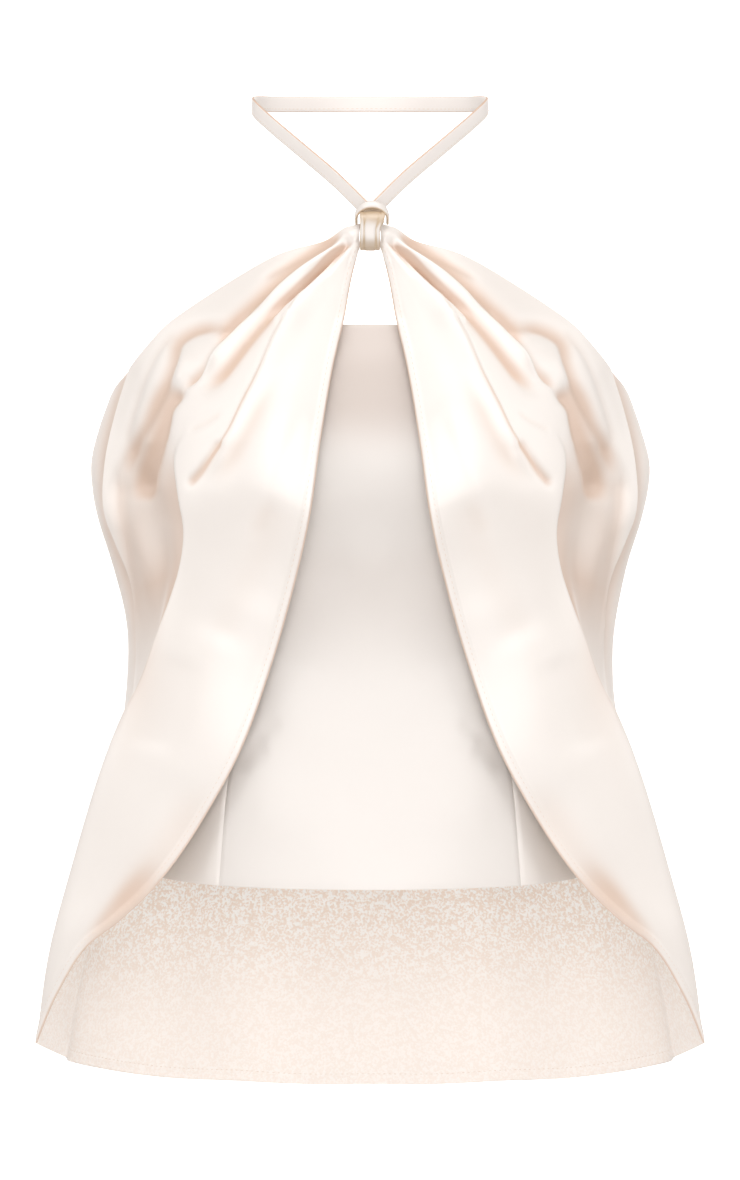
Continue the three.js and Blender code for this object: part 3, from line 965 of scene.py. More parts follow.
@dataclass
class FrontDrapes:
    """The overlay's two front panels, gathered at the knot and hanging open over the bodice."""

    rows: int = 250
    columns: int = 192
    gather: float = 1.3
    thickness: float = 0.9
    hem_width: float = 4.6
    hem_raise: float = 0.6
    hem_columns: int = 13
    stitch_inset: float = 0.7
    underarm: float = 10 / 32
    stitches: Stitching = Stitching()

    EDGE = Rail(
        [
            (5.5, 128, 88), (8.7, 131, 101), (13, 138, 124), (19, 149, 151), (25, 160, 188),
            (30, 161, 224), (38, 150, 259), (50, 140, 301), (66, 136, 345), (85, 131, 379),
            (106, 124, 409), (130, 111, 434), (147, 100, 448), (164, 80, 475), (176, 58, 502),
        ]
    )
    CREST = Rail(
        [
            (5.5, 129.5, 82), (19, 134, 94), (33, 141, 108), (45, 149, 133), (56, 156, 155),
            (68, 158, 176), (81, 154, 197), (91, 147, 216), (96, 140, 236), (101, 134, 260),
            (112, 127, 287), (125, 117, 320), (141, 104, 361), (158, 84, 414), (169, 72, 455),
            (176.4, 57, 502.4),
        ]
    )
    FLANK = Rail(
        [
            (5.5, 128.6, 78), (21, 127, 86), (38, 126, 97), (58, 127, 113), (77, 125, 132),
            (95, 119, 152), (109, 110, 176), (116, 101, 200), (112, 100, 222), (110, 100, 240),
            (112, 98, 263), (116, 93, 290), (122, 87, 320), (133, 77, 361), (148, 60, 414),
            (160, 47, 460), (171, 37, 508),
        ]
    )
    ARMHOLE_EDGE = Rail(
        [
            (5.5, 127, 75), (14, 122, 77), (28, 115, 83), (49, 107, 90), (75, 98, 104),
            (97, 89, 118), (107, 83, 125), (121, 70, 139), (127, 62, 146),
        ]
    )
    SIDE_SEAM = Rail(
        [
            (127, 62, 146), (134, 60, 168), (140, 59, 194), (141, 59, 219), (136, 58, 238),
            (130, 57, 262), (127, 55, 290), (127, 52, 318), (131, 47, 352), (139, 38, 395),
            (148, 29, 436), (157, 21, 476), (164, 16, 514),
        ]
    )
    SWELL_LEVELS = (0, 0.2, 0.42, 0.62, 0.85, 1)
    SWELL = (0, 4, 6, 6, 4, 0)
    SWELL_DIRECTION = (0.35, -0.93, 0)
    EDGE_TURN = Groove(0.8, 0.7)
    STITCH_PRESS = Groove(0.22, 0.55)
    # Reach in millimetres of the painted line of shade along the free edge.
    EDGE_PAINTED_SHADE_REACH = 1.1
    # Front-to-back range and heights down from the nape over which the painted fold shade is capped, so that
    # the lower side stays light.
    LIGHT_SIDE = (-140, -105)
    LIGHT_STARTS = (215, 310)
    LIGHT_ENDS = (340, 390)
    # A fold's painted_shade sets how much painted shade it puts into its trough's colour.
    MAIN_FOLDS = (
        Fold(
            "ridge from the knot", 4.4, 3.0, 4.2,
            ((7, 77), (20, 90), (38, 103), (54, 117), (66, 129), (78, 143), (89, 157)),
        ),
        Fold(
            "valley above the ridge", -4, 3.2, 6,
            ((10, 78), (30, 92), (46, 105), (59, 118), (70, 128), (79, 140)), painted_shade=2.2,
        ),
        Fold(
            "line below that valley", -2.4, 1.8, 3.2,
            ((60, 119), (70, 129), (79, 140), (87, 151), (98, 161)), painted_shade=1.2,
        ),
        Fold(
            "deep fold under the ridge", -5, 3, 2.2,
            ((9, 81), (20, 92), (33, 104), (45, 114), (56, 125)), (0.1, 0.3), painted_shade=0.5,
        ),
        Fold(
            "soft tail of that fold", -4, 5, 4.2,
            ((44, 113), (53, 122), (64, 135), (74, 148), (88, 166)), (0.25, 0.3), painted_shade=1.5,
        ),
        Fold(
            "overlap from the knot", 3.4, 7, 1,
            ((32, 105), (39, 117), (48, 133), (56, 151), (65, 168), (73, 184), (88, 205)),
        ),
        Fold(
            "hollow beside the overlap", -3, 9, 6,
            ((40, 132), (56, 161), (63, 175), (70, 189), (84, 215)), (0.5, 0.3), painted_shade=2.4,
        ),
        Fold(
            "foot of the overlap", -1.8, 2.6, 2.6,
            ((75, 186), (79, 193), (86, 202), (94, 211)), painted_shade=1.6,
        ),
        Fold(
            "fold behind the bust", -2.8, 4, 4.5,
            (
                (70, 128), (80, 127), (90, 128), (100, 134), (102, 144),
                (106, 155), (112, 165), (118, 178), (126, 191), (132, 206),
            ),
            painted_shade=1.7,
        ),
        Fold("swell before it", 1.8, 5, 5, ((92, 136), (98, 150), (106, 162), (115, 177), (122, 193))),
        Fold(
            "broad side fold", -4, 3.6, 8,
            ((93, 158), (100, 163), (105, 169), (108, 180), (112, 191), (116, 204), (117, 219)), painted_shade=2.2,
        ),
        Fold(
            "edge of the hanging fold", -3.6, 1.8, 12,
            (
                (88, 178), (99, 185), (103, 196), (101, 216), (98, 233),
                (100, 250), (106, 268), (116, 292), (126, 318), (134, 346),
            ),
            (0.25, 0.45),
            painted_shade=1.7,
        ),
        Fold(
            "valley along the side seam", -4.5, 8, 3,
            ((128, 190), (134, 205), (135, 219), (133, 235), (129, 260), (126, 280), (124, 306), (124, 336)),
            (0.16, 0.5),
            painted_shade=0.8,
        ),
        # Mostly painted shade: a shallow trough with a large painted_shade darkens the side under the arm.
        Fold(
            "slack side under the arm", -0.8, 14, 9,
            ((110, 172), (119, 200), (121, 228), (118, 256), (118, 290), (124, 330), (134, 376), (142, 415)),
            (0.25, 0.65), painted_shade=9,
        ),
        Fold("soft band to the waist", -1, 13, 13, ((45, 214), (56, 243), (68, 270), (80, 294)), painted_shade=4),
        Fold("soft hollow under the waist", -0.7, 10, 12, ((94, 296), (104, 320), (112, 348)), painted_shade=2),
        Fold("swell beside the edge", 0.7, 10, 16, ((50, 262), (68, 312), (100, 372))),
        Fold(
            "hollow along the lower edge", -3.6, 13, 14,
            ((72, 342), (99, 388), (120, 418), (136, 438)), (0.45, 0.3), painted_shade=1.9,
        ),
        Fold(
            "hem corner turned from the light", -0.9, 14, 6,
            ((108, 398), (122, 415), (135, 432), (147, 448), (156, 463)), (0.45, 0.45), painted_shade=11,
        ),
    )
    FINE_FOLDS = (
        Fold(
            "core of the deep fold", -2.4, 1.2, 1.6,
            ((11, 84), (20, 92), (28, 100), (36, 107), (46, 116), (56, 126)), (0.15, 0.3), painted_shade=3,
        ),
        Fold(
            "line of the overlap", -1.3, 1, 0.8,
            ((32, 105), (39, 117), (48, 133), (56, 151), (65, 168), (73, 184), (88, 205)),
        ),
        Fold("second pull from the knot", -1, 1.6, 1.8, ((8, 83), (17, 94), (24, 103))),
        Fold("upper pull from the knot", -0.7, 1.8, 2, ((12, 78), (28, 86), (44, 95), (58, 104))),
        Fold("pull beside the hem", -0.7, 1.5, 2.4, ((9, 93), (12, 114), (17, 128))),
        Fold("bodice top pressing through", 1, 2, 2, ((40, 122), (45, 123), (50, 125))),
        Fold("faint line at the side", -0.7, 1.5, 2, ((75, 172), (84, 178), (93, 182))),
        Fold("armhole pull", -0.9, 2.4, 3, ((100, 124), (112, 140), (121, 160), (131, 190))),
        Fold("bust line to the edge", -0.7, 5, 5, ((34, 170), (46, 205), (62, 240))),
    )

    def levels(self) -> Array:
        """Shares down the panel, closer together where the cloth is gathered."""
        return np.linspace(0, 1, self.rows) ** self.gather

    def seam_shares(self, levels: Array) -> Array:
        """Shares of the side seam's own length, less than 0 above the underarm."""
        return (levels - self.underarm) / (1 - self.underarm)

    def side(self, levels: Array) -> Array:
        """The panel's side: the armhole's edge down to the underarm, and the side seam below it.

        Args:
            levels: shares down the panel.

        Returns:
            One point for each share, in millimetres.
        """
        above = self.ARMHOLE_EDGE.at(np.clip(levels / self.underarm, 0, 1))
        below = self.SIDE_SEAM.at(np.clip(self.seam_shares(levels), 0, 1))
        return np.where((levels < self.underarm)[:, None], above, below)

    def columns_across(self, length: float) -> Array:
        """Shares across a section, close together over the turned hem at the free edge.

        Args:
            length: the section's length in millimetres.

        Returns:
            The shares, from 0 at the free edge to 1 at the side.
        """
        hem = min(1.5 * self.hem_width / length, 0.35)
        near = np.linspace(0, hem, self.hem_columns)
        rest = np.linspace(hem, 1, self.columns - self.hem_columns + 1)[1:]
        return np.concatenate([near, rest])

    def surface(self) -> tuple[Array, Array]:
        """Lays out the wearer's left panel with its folds.

        Returns:
            Its right side, rows by columns by three in millimetres, and the painted shade that the folds give
            each point.
        """
        levels = self.levels()
        edge = self.EDGE.at(levels)
        crest = self.CREST.at(levels)
        swell = np.interp(levels, self.SWELL_LEVELS, self.SWELL)
        middle = (edge + crest) / 2 + swell[:, None] * self.SWELL_DIRECTION
        rails = [edge, middle, crest, self.FLANK.at(levels), self.side(levels)]
        grid = woven_between(rails, self.columns_across)
        rise, depth = folded(self.MAIN_FOLDS + self.FINE_FOLDS, grid)
        calm = smooth_step(0, 0.22, levels)[:, None]
        uneven = calm * slack(grid, height=0.3, wave=74, phase=0.8)
        return move_out(grid, rise + uneven), depth

    def seam_pull(self, grid: Array, shares: Array) -> Array:
        """How far the folds pull the side seam from its rail.

        Args:
            grid: the panel's right side.
            shares: shares of the seam's length, from the underarm down.

        Returns:
            The pull at each share, as rows of x, y and z in millimetres.
        """
        levels = self.levels()
        pull = grid[:, -1] - self.side(levels)
        return blended(shares, self.seam_shares(levels), pull)

    def hemmed(self, grid: Array) -> Array:
        """Turns the free edge under, rounds it off and presses it along its puckered stitches.

        Args:
            grid: the panel's right side.

        Returns:
            The panel's right side with its hem.
        """
        run = run_across(grid)
        turned = self.hem_raise * (1 - smooth_step(self.hem_width - 0.8, self.hem_width + 0.8, run))
        rounded = self.EDGE_TURN.at(run)
        pressed = self.STITCH_PRESS.at(run - self.hem_width + self.stitch_inset)
        waves = 0.07 * np.sin(np.arange(len(grid)) * 2.4)[:, None]
        pucker = waves * bell(run - self.hem_width, 2.2)
        return move_out(grid, turned + rounded + pressed + pucker)

    def stitch_line(self, grid: Array) -> tuple[Array, Array]:
        """Finds where the hem's stitches lie.

        Args:
            grid: the panel's right side with its hem.

        Returns:
            The line of the stitches in millimetres, and the cloth's normal along it.
        """
        run = run_across(grid)
        normals = grid_normals(grid)
        wanted = np.array([self.hem_width - self.stitch_inset])
        rows = [row for row in range(len(grid)) if run[row, -1] > 3 * self.hem_width]
        line = np.vstack([blended(wanted, run[row], grid[row]) for row in rows])
        up = np.vstack([blended(wanted, run[row], normals[row]) for row in rows])
        return line, up

    def shaded(self, grid: Array, depth: Array) -> Array:
        """Paints a fine line of shade along the free edge, and caps the painted fold shade on the lower side
        so that it stays light.

        Args:
            grid: the panel's right side with its hem.
            depth: the painted shade that each point gets from the folds.

        Returns:
            The painted shade of each point, from 0 to 1.
        """
        down = -grid[..., 2]
        beside = smooth_step(*self.LIGHT_SIDE, grid[..., 1])
        low = smooth_step(*self.LIGHT_STARTS, down) * (1 - smooth_step(*self.LIGHT_ENDS, down))
        most = 1 - 0.75 * low * beside
        return np.maximum(np.minimum(depth, most), bell(run_across(grid), self.EDGE_PAINTED_SHADE_REACH))

    def build(self) -> None:
        """Builds and dresses both panels and their stitching."""
        plain, depth = self.surface()
        surface = self.hemmed(plain)
        hollow_and_painted_shade = self.shaded(surface, depth)
        line, up = self.stitch_line(surface)
        for side in Side:
            hand = side.name.lower()
            if side is Side.RIGHT:
                surface = mirrored(surface)
                hollow_and_painted_shade = hollow_and_painted_shade[:, ::-1]
            panel = cloth(f"drape_{hand}", surface, self.thickness, (SATIN, INSIDE), hollow_and_painted_shade)
            dress(panel, "satin")
            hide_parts(f"front_{hand}")
            flip = np.array([side.value, 1, 1])
            sewn = self.stitches.sew(f"drape_stitches_{hand}", line * flip, up * flip)
            dress(sewn, "satin", THREAD)


@dataclass
class BackPanel:
    """The overlay's long back, from side seam to side seam, with a rounded stitched hem."""

    rows: int = 150
    columns: int = 200
    length: float = 390
    thickness: float = 0.9
    seam_gap: float = 0.12
    hem_width: float = 7
    hem_rows: int = 16
    stitch_inset: float = 0.8
    pull_reach: float = 22
    # Reach and strength of the painted shade along the side seams.
    shade_reach: float = 30
    shade: float = 0.62
    stitches: Stitching = Stitching()

    WIDE = Rail(
        [
            (137, 32, 161.5), (143.8, 30, 180), (147.8, 30, 197), (146, 30, 213), (142.5, 30, 227),
            (133, 28, 257), (127, 25, 290), (127.5, 22, 316), (131, 18, 340), (138, 12, 372),
            (145.4, 3.6, 415), (152.4, -5.2, 465), (159.4, -11.6, 520.4),
        ]
    )
    QUARTER = Rail(
        [
            (104, -20, 172), (110, -24, 195), (108, -22, 230), (98, -14, 265), (92, -9, 295),
            (94, -12, 325), (102, -24, 370), (108, -40, 425), (110, -54, 480), (112.5, -62, 533.5),
        ]
    )
    CENTRE = Rail(
        [
            (0, -46, 178), (0, -52, 205), (0, -48, 240), (0, -38, 275), (0, -34, 300),
            (0, -40, 330), (0, -56, 375), (0, -74, 430), (0, -87, 485), (0, -95, 541),
        ]
    )
    EDGE_TURN = Groove(0.4, 0.5)
    STITCH_PRESS = Groove(0.2, 0.6)
    FLUTES = (
        Fold("flute beside the centre", 2.4, 20, 24, ((24, 350), (30, 430), (36, 560))),
        Fold("hollow at the quarter", -2.6, 18, 18, ((62, 340), (70, 430), (76, 560))),
        Fold("flute towards the side", 2.4, 16, 20, ((96, 330), (110, 430), (116, 560))),
        Fold("crease at the waist", -1.8, 9, 9, ((10, 268), (60, 283), (118, 300))),
        Fold("drag line above the waist", -1, 4, 5, ((30, 214), (66, 238), (104, 262))),
        Fold("drag line below the waist", -0.9, 4, 5, ((26, 322), (64, 306), (108, 300))),
        Fold("underarm pull", -0.9, 3, 4, ((70, 186), (100, 200), (128, 222))),
    )

    def levels(self) -> Array:
        """Spaces the panel's rows, close together over the hem.

        Returns:
            Shares down the panel.
        """
        hem = 1 - 1.5 * self.hem_width / self.length
        above = np.linspace(0, hem, self.rows - self.hem_rows)
        return np.concatenate([above, np.linspace(hem, 1, self.hem_rows + 1)[1:]])

    def surface(self) -> tuple[Array, Array]:
        """Lays the panel out with its flutes, its turned hem and the drapes' pull on its sides.

        Returns:
            Its right side, rows by columns by three in millimetres, and each point's painted shade, from the
            flutes and along the side seams high up.
        """
        levels = self.levels()
        half = [rail.at(levels) for rail in (FrontDrapes.SIDE_SEAM, self.WIDE, self.QUARTER, self.CENTRE)]
        grid = woven_between(both_halves(half), inside_seams(self.seam_gap, self.columns))
        rise, depth = folded(self.FLUTES, grid)
        inland = self.inland(grid, self.pull_reach)
        eased = inland * smooth_step(0, 0.15, levels)[:, None]
        grid = move_out(grid, slack(grid, height=0.8, wave=70, phase=2.3) * eased - rise)
        drapes = FrontDrapes()
        pull = drapes.seam_pull(drapes.surface()[0], levels)[:, None]
        near_seam = (1 - inland)[..., None]
        middle = self.columns // 2
        grid[:, :middle] += pull * near_seam[:, :middle]
        grid[:, middle:] += pull * [-1, 1, 1] * near_seam[:, middle:]
        # Painted shade along the side seams in the panel's upper part.
        high = 1 - smooth_step(0.3, 0.6, levels)[:, None]
        beside = 1 - self.inland(grid, self.shade_reach)
        hollow_and_painted_shade = np.maximum(depth, self.shade * beside * high)
        return move_out(grid, self.hem_shape(grid) + self.thickness * inland), hollow_and_painted_shade

    def inland(self, grid: Array, reach: float) -> Array:
        """Rises from 0 at the side seams to 1 at reach millimetres from them."""
        run = run_across(grid)
        return smooth_step(0, reach, np.minimum(run, run[:, -1:] - run))

    def hem_shape(self, grid: Array) -> Array:
        """How far the turned hem and the top's folded edge stand out.

        Args:
            grid: the panel's right side.

        Returns:
            The distance for each point, in millimetres.
        """
        run = run_down(grid)
        up = run[-1] - run
        turned = 0.3 * (1 - smooth_step(self.hem_width - 1, self.hem_width + 1, up))
        pressed = self.STITCH_PRESS.at(up - self.hem_width + self.stitch_inset)
        rounded = self.EDGE_TURN.at(up) + self.EDGE_TURN.at(run)
        return np.broadcast_to((turned + pressed + rounded)[:, None], grid.shape[:2])

    def build(self) -> None:
        surface, hollow_and_painted_shade = self.surface()
        panel = cloth("overlay_back", surface, self.thickness, (SATIN, INSIDE), hollow_and_painted_shade)
        dress(panel, "satin")
        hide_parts("back_panel")
        run = run_down(surface)
        row = int(np.abs(run[-1] - run - self.hem_width + self.stitch_inset).argmin())
        line = surface[row]
        up = grid_normals(surface)[row]
        outer = self.stitches.sew("back_hem_stitches", line, up)
        inner = self.stitches.sew("back_hem_stitches_inside", line - up * self.thickness, -up)
        for sewn in (outer, inner):
            dress(sewn, "satin", THREAD)


@dataclass
class Bodice:
    """The close tube under the overlay: a centre front, two side fronts and a back."""

    rows: int = 110
    centre_columns: int = 90
    side_columns: int = 50
    back_columns: int = 130
    samples: int = 60
    seam_gap: float = 0.1
    tuck: float = 0.001
    thickness: float = 1.0
    front_before: float = -60
    # Strength of the painted shade under the overlay and under the bust.
    shade: float = 0.7

    CENTRE = Rail(
        [
            (0, 134, 127), (0, 145, 152), (0, 152, 185), (0, 150, 212), (0, 142, 242),
            (0, 135, 275), (0, 132, 300), (0, 133, 340), (0, 136, 380), (0, 140, 416),
        ]
    )
    PRINCESS = Rail(
        [
            (70, 116, 131), (75, 128, 158), (77, 138, 188), (73, 135, 218), (68, 128, 255),
            (65, 123, 290), (68, 123, 325), (74, 123, 367), (78, 122, 415),
        ]
    )
    SIDE = Rail(
        [
            (122.5, 60, 150), (129, 58, 175), (132, 57, 200), (130, 57, 220), (123, 57, 242),
            (116, 57, 266), (112, 57, 290), (112, 56, 312), (117, 55, 345), (124, 54, 380),
            (129, 53, 412),
        ]
    )
    WIDE = Rail(
        [
            (135.6, 31, 162), (137.5, 30, 180), (137, 30, 200), (133, 30, 222), (126, 29, 245),
            (119, 28, 270), (115, 27, 292), (116, 26, 315), (121, 24, 345), (128, 22, 380),
            (134, 20, 412),
        ]
    )
    QUARTER = Rail(
        [
            (102.8, -18.2, 173), (102, -18, 195), (98, -15, 225), (88, -8, 260), (83, -3, 290),
            (86, -6, 325), (93, -15, 370), (98, -24, 412),
        ]
    )
    BACK_CENTRE = Rail(
        [
            (0, -44, 179), (0, -44, 205), (0, -38, 240), (0, -30, 275), (0, -27, 300),
            (0, -31, 330), (0, -40, 375), (0, -47, 412),
        ]
    )
    SEAM = Groove(0.55, 0.7)
    EDGE_TURN = Groove(0.35, 0.7)
    # Heights down from the nape over which painted shade fades: below the overlay's edge, and into and out of
    # a band under the bust.
    UNDER_OVERLAY = (166, 212)
    BUST_SHADE_STARTS = (222, 256)
    BUST_SHADE_ENDS = (262, 345)
    CREASES = (
        Fold("dimple at the waist", -0.9, 4, 5, ((52, 344), (60, 349), (68, 356))),
        Fold("pull to the princess seam", -0.7, 3, 4, ((44, 330), (58, 340), (72, 358))),
        Fold("slack under the bust", -0.5, 12, 12, ((8, 246), (30, 250), (60, 246))),
        Fold("drag at the waist", -0.45, 5, 6, ((20, 305), (42, 300), (62, 292))),
        Fold("low swell", 0.5, 14, 14, ((10, 372), (36, 380), (64, 378))),
    )

    def section(self, levels: Array) -> list[Array]:
        """The front's rails, from the wearer's right side seam to the left one."""
        half = [rail.at(levels) for rail in (self.SIDE, self.PRINCESS)]
        return [*(points * [-1, 1, 1] for points in half), self.CENTRE.at(levels), *half[::-1]]

    def front_grid(self, start: float, stop: float, columns: int) -> Array:
        """Part of the bodice's front.

        Args:
            start: where it starts, in spans between the front's five rails, from 0 to 4.
            stop: where it ends, in the same spans.
            columns: how many columns it has.

        Returns:
            The grid of its right side, in millimetres.
        """
        marks = np.linspace(start, stop, columns) * self.samples
        rows = []
        for points in np.stack(self.section(np.linspace(0, 1, self.rows)), axis=1):
            samples = spline(points, self.samples)
            rows.append(blended(marks, np.arange(len(samples)), samples))
        return np.array(rows)

    def back_grid(self) -> Array:
        """The bodice's back, from side seam to side seam.

        Returns:
            The grid of its right side, in millimetres.
        """
        levels = np.linspace(0, 1, self.rows)
        half = [rail.at(levels) for rail in (self.SIDE, self.WIDE, self.QUARTER, self.BACK_CENTRE)]
        grid = woven_between(both_halves(half), inside_seams(self.seam_gap, self.back_columns))
        return move_out(grid, np.full(grid.shape[:2], self.thickness))

    def finished(self, grid: Array) -> tuple[Array, Array]:
        """The surface with creases, turned edges and its two seams drawn in, and its painted shade.

        Args:
            grid: the plain surface.

        Returns:
            The finished surface, and each point's painted shade from 0 to 1: from the creases, under the
            overlay and in a band under the bust.
        """
        front = grid[..., 1] < self.front_before
        rise, depth = folded(self.CREASES, grid)
        rise = np.where(front, rise, 0)
        across = run_across(grid)
        for seam in (across, across[:, -1:] - across):
            rise = rise + self.SEAM.at(seam)
        down = run_down(grid)[:, None]
        for edge in (down, down[-1:] - down):
            rise = rise + self.EDGE_TURN.at(edge)
        # Painted shade under the overlay's edge and in a band under the bust, on the front only.
        low = -grid[..., 2]
        under_overlay = 1 - smooth_step(*self.UNDER_OVERLAY, low)
        under_bust = smooth_step(*self.BUST_SHADE_STARTS, low)
        under_bust *= 1 - smooth_step(*self.BUST_SHADE_ENDS, low)
        shaded = self.shade * np.maximum(under_overlay, 0.45 * under_bust)
        hollow_and_painted_shade = np.where(front, np.maximum(depth, shaded), 0)
        return move_out(grid, rise + slack(grid, height=0.35, wave=52, phase=1.4)), hollow_and_painted_shade

    def build(self) -> None:
        front = self.finished(self.front_grid(1 + self.tuck, 3 - self.tuck, self.centre_columns))
        side = self.finished(self.front_grid(3 + self.tuck, 4 - self.tuck, self.side_columns))
        back = self.finished(self.back_grid())
        other_side = (mirrored(side[0]), side[1][:, ::-1])
        # The side fronts wear the drapes' lighter satin, painted light that lifts them out of the drapes'
        # shadow; the centre front and back wear the darker bodice copy.
        pieces = (
            ("bodice_centre", "bodice_front", front, (0.165, 0.295), 0.0455, BODICE_SATIN),
            ("bodice_side_l", "bodice_side_left", side, (0.092, 0.29), 0.0252, SATIN),
            ("bodice_side_r", "bodice_side_right", other_side, (0.092, 0.29), 0.0252, SATIN),
            ("bodice_rear", "bodice_back", back, (0.37, 0.25), 0.0905, BODICE_SATIN),
        )
        for name, node, (points, hollow_and_painted_shade), flat, area, finish in pieces:
            piece = cloth(name, points, self.thickness, (finish, INSIDE), hollow_and_painted_shade)
            dress(piece, "bodice_satin")
            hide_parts(node)


@dataclass
class NeckStrap:
    """The folded band that goes from behind the knot round the nape and back."""

    width: float = 8.4
    thickness: float = 1.6
    steps: int = 260
    samples: int = 60
    stitch_inset: float = 1.7
    stitches: Stitching = Stitching(length=1.7, pitch=2.6, thread=0.3, sunk=0.04)

    HALF = (
        (2.8, 123.9, 66.7), (18, 108.5, 50.5), (36, 89, 33.5), (54, 69.5, 16.5),
        (61.5, 56, 8), (60.5, 38, 4.2), (50, 18, 2.2), (31, 4.5, 0.8),
    )
    LEAN_STARTS = (0.16, 0.34)
    LEAN = (-0.2, -0.5)

    def path(self) -> Array:
        """Lays the band's middle line.

        Returns:
            Its points in millimetres, from the wearer's left end round the nape to the right one.
        """
        half = np.array(self.HALF) * [1, -1, -1]
        nape = np.array([[0, self.thickness / 2, 0]])
        marks = np.vstack([half, nape, half[::-1] * [-1, 1, 1]])
        return along(spline(marks, self.samples), np.linspace(0, 1, self.steps))

    def across(self) -> Array:
        """Finds the direction of the band's width: upright round the neck, laid back over the chest.

        Returns:
            One direction for each point of the path.
        """
        part = np.linspace(0, 1, self.steps)
        lean = smooth_step(*self.LEAN_STARTS, np.abs(part - 0.5))
        inwards, backwards = self.LEAN
        turned = inwards * np.cos(part * math.pi) * lean
        return np.column_stack([turned, backwards * lean, np.ones(self.steps)])

    def build(self) -> None:
        """Builds and dresses the strap and the row of stitches on each face."""
        path = self.path()
        across = self.across()
        outline = band_outline(self.width, self.thickness, steps=36, square=5)
        # Painted shade along both edges of the band.
        hollow_and_painted_shade = np.broadcast_to(edge_shade(outline, 1), (self.steps, len(outline)))
        strap = wrapped("halter_strap", path, across, outline, hollow_and_painted_shade)
        dress(strap, "strap_satin", STRAP_SATIN)
        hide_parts("neck_strap")
        side, face = band_frame(path, across)
        low = path - side * (self.width / 2 - self.stitch_inset)
        for label, up in (("outer", face), ("inner", -face)):
            sewn = self.stitches.sew(f"strap_stitches_{label}", low + up * self.thickness / 2, up)
            dress(sewn, "strap_satin", THREAD)


@dataclass
class Knot:
    """The arch that carries the two gathered panels, and the tab that hangs through it."""

    centre: float = 1
    half_width: float = 8
    crown: float = 65.6
    spring: float = 72.2
    foot: float = 74.4
    front: float = 130.8
    lean_back: float = 0.8
    foot_set: float = 4
    samples: int = 24
    arch_steps: int = 90
    arch_width: float = 5
    arch_thickness: float = 2.2
    slimmest: float = 0.66
    tab_steps: int = 110
    tab_width: float = 9.3
    tab_thickness: float = 1.8
    tab_spread: float = 0.3
    tab_lean: float = 1.3
    crease_share: float = 0.6

    CREASE = Groove(0.34, 0.1)
    SPREAD_ENDS = (70.5, 79)
    ARCH_SHADE_ENDS = (71, 79)
    TURN_SHADE_STARTS = (80, 87.5)
    TILT = (0.0, 0.6, 0.8)
    TAB = (
        (125.6, 66.6), (126.6, 69.2), (130.6, 69.6), (134.2, 72.4), (135.8, 78), (135.4, 84.5),
        (133, 87.8), (129.4, 88.2), (126.2, 86), (124.6, 81), (124.6, 72.4),
    )

    def arch(self) -> bpy.types.Object:
        """Builds the short soft band bent into an arch, thinner in its legs than over its crown.

        Returns:
            The arch, not yet dressed.
        """
        turn = np.linspace(math.pi, 0, 13)
        rise = np.sin(turn)
        out = self.centre + self.half_width * np.cos(turn)
        down = self.spring - (self.spring - self.crown) * rise
        front = self.front - self.lean_back * (1 - rise)
        bow = np.column_stack([out, -front, -down])
        feet = [
            (self.centre + side * self.half_width, self.foot_set - self.front, -self.foot)
            for side in (-1, 1)
        ]
        marks = np.vstack([feet[:1], bow, feet[1:]])
        path = along(spline(marks, self.samples), np.linspace(0, 1, self.arch_steps))
        height = np.clip((path[:, 2] + self.spring) / (self.spring - self.crown), 0, 1)
        slim = self.slimmest + (1 - self.slimmest) * height
        outline = band_outline(self.arch_width, self.arch_thickness, square=2.4)
        tilt = np.broadcast_to(self.TILT, path.shape)
        # Painted shade on the arch's legs and along its edges.
        legs = 0.5 * (1 - smooth_step(0, 0.55, height))
        hollow_and_painted_shade = np.maximum(legs[:, None], edge_shade(outline, 1, start=0.66))
        return wrapped("knot_arch", path, tilt, outline * slim[:, None, None], hollow_and_painted_shade)

    def tab(self) -> bpy.types.Object:
        """Builds the folded tab, creased along both edges.

        Returns:
            The tab, not yet dressed.
        """
        marks = np.array([(0.0, -front, -down) for front, down in self.TAB])
        path = along(spline(marks), np.linspace(0, 1, self.tab_steps))
        down = -path[:, 2]
        spread = 1 - smooth_step(*self.SPREAD_ENDS, down)
        path[:, 0] += self.tab_lean * spread
        outline = band_outline(self.tab_width, self.tab_thickness, steps=64, square=3.4)
        share = np.abs(outline[:, 0]) / (self.tab_width / 2)
        outline[:, 1] += np.sign(outline[:, 1]) * self.CREASE.at(share - self.crease_share)
        across = np.broadcast_to([1.0, 0.0, 0.0], path.shape)
        # Painted shade: under the arch, where the tab turns under, along its creases and at its edges.
        under_arch = 0.95 * (1 - smooth_step(*self.ARCH_SHADE_ENDS, down))
        turned_under = 0.7 * smooth_step(*self.TURN_SHADE_STARTS, down)
        creased = 0.75 * bell(share - self.crease_share, 0.09) + edge_shade(outline, 0.6)
        hollow_and_painted_shade = np.clip(np.maximum(under_arch, turned_under)[:, None] + creased, 0, 1)
        widened = np.column_stack([1.1 + self.tab_spread * spread, np.ones(len(path))])
        return wrapped("knot_tab", path, across, outline * widened[:, None], hollow_and_painted_shade)

    def build(self) -> None:
        """Builds and dresses both pieces of the knot."""
        for piece, node in ((self.arch(), "arch_loop"), (self.tab(), "centre_tab")):
            dress(piece, "strap_satin", KNOT_SATIN)
            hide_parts(node)


# The studio


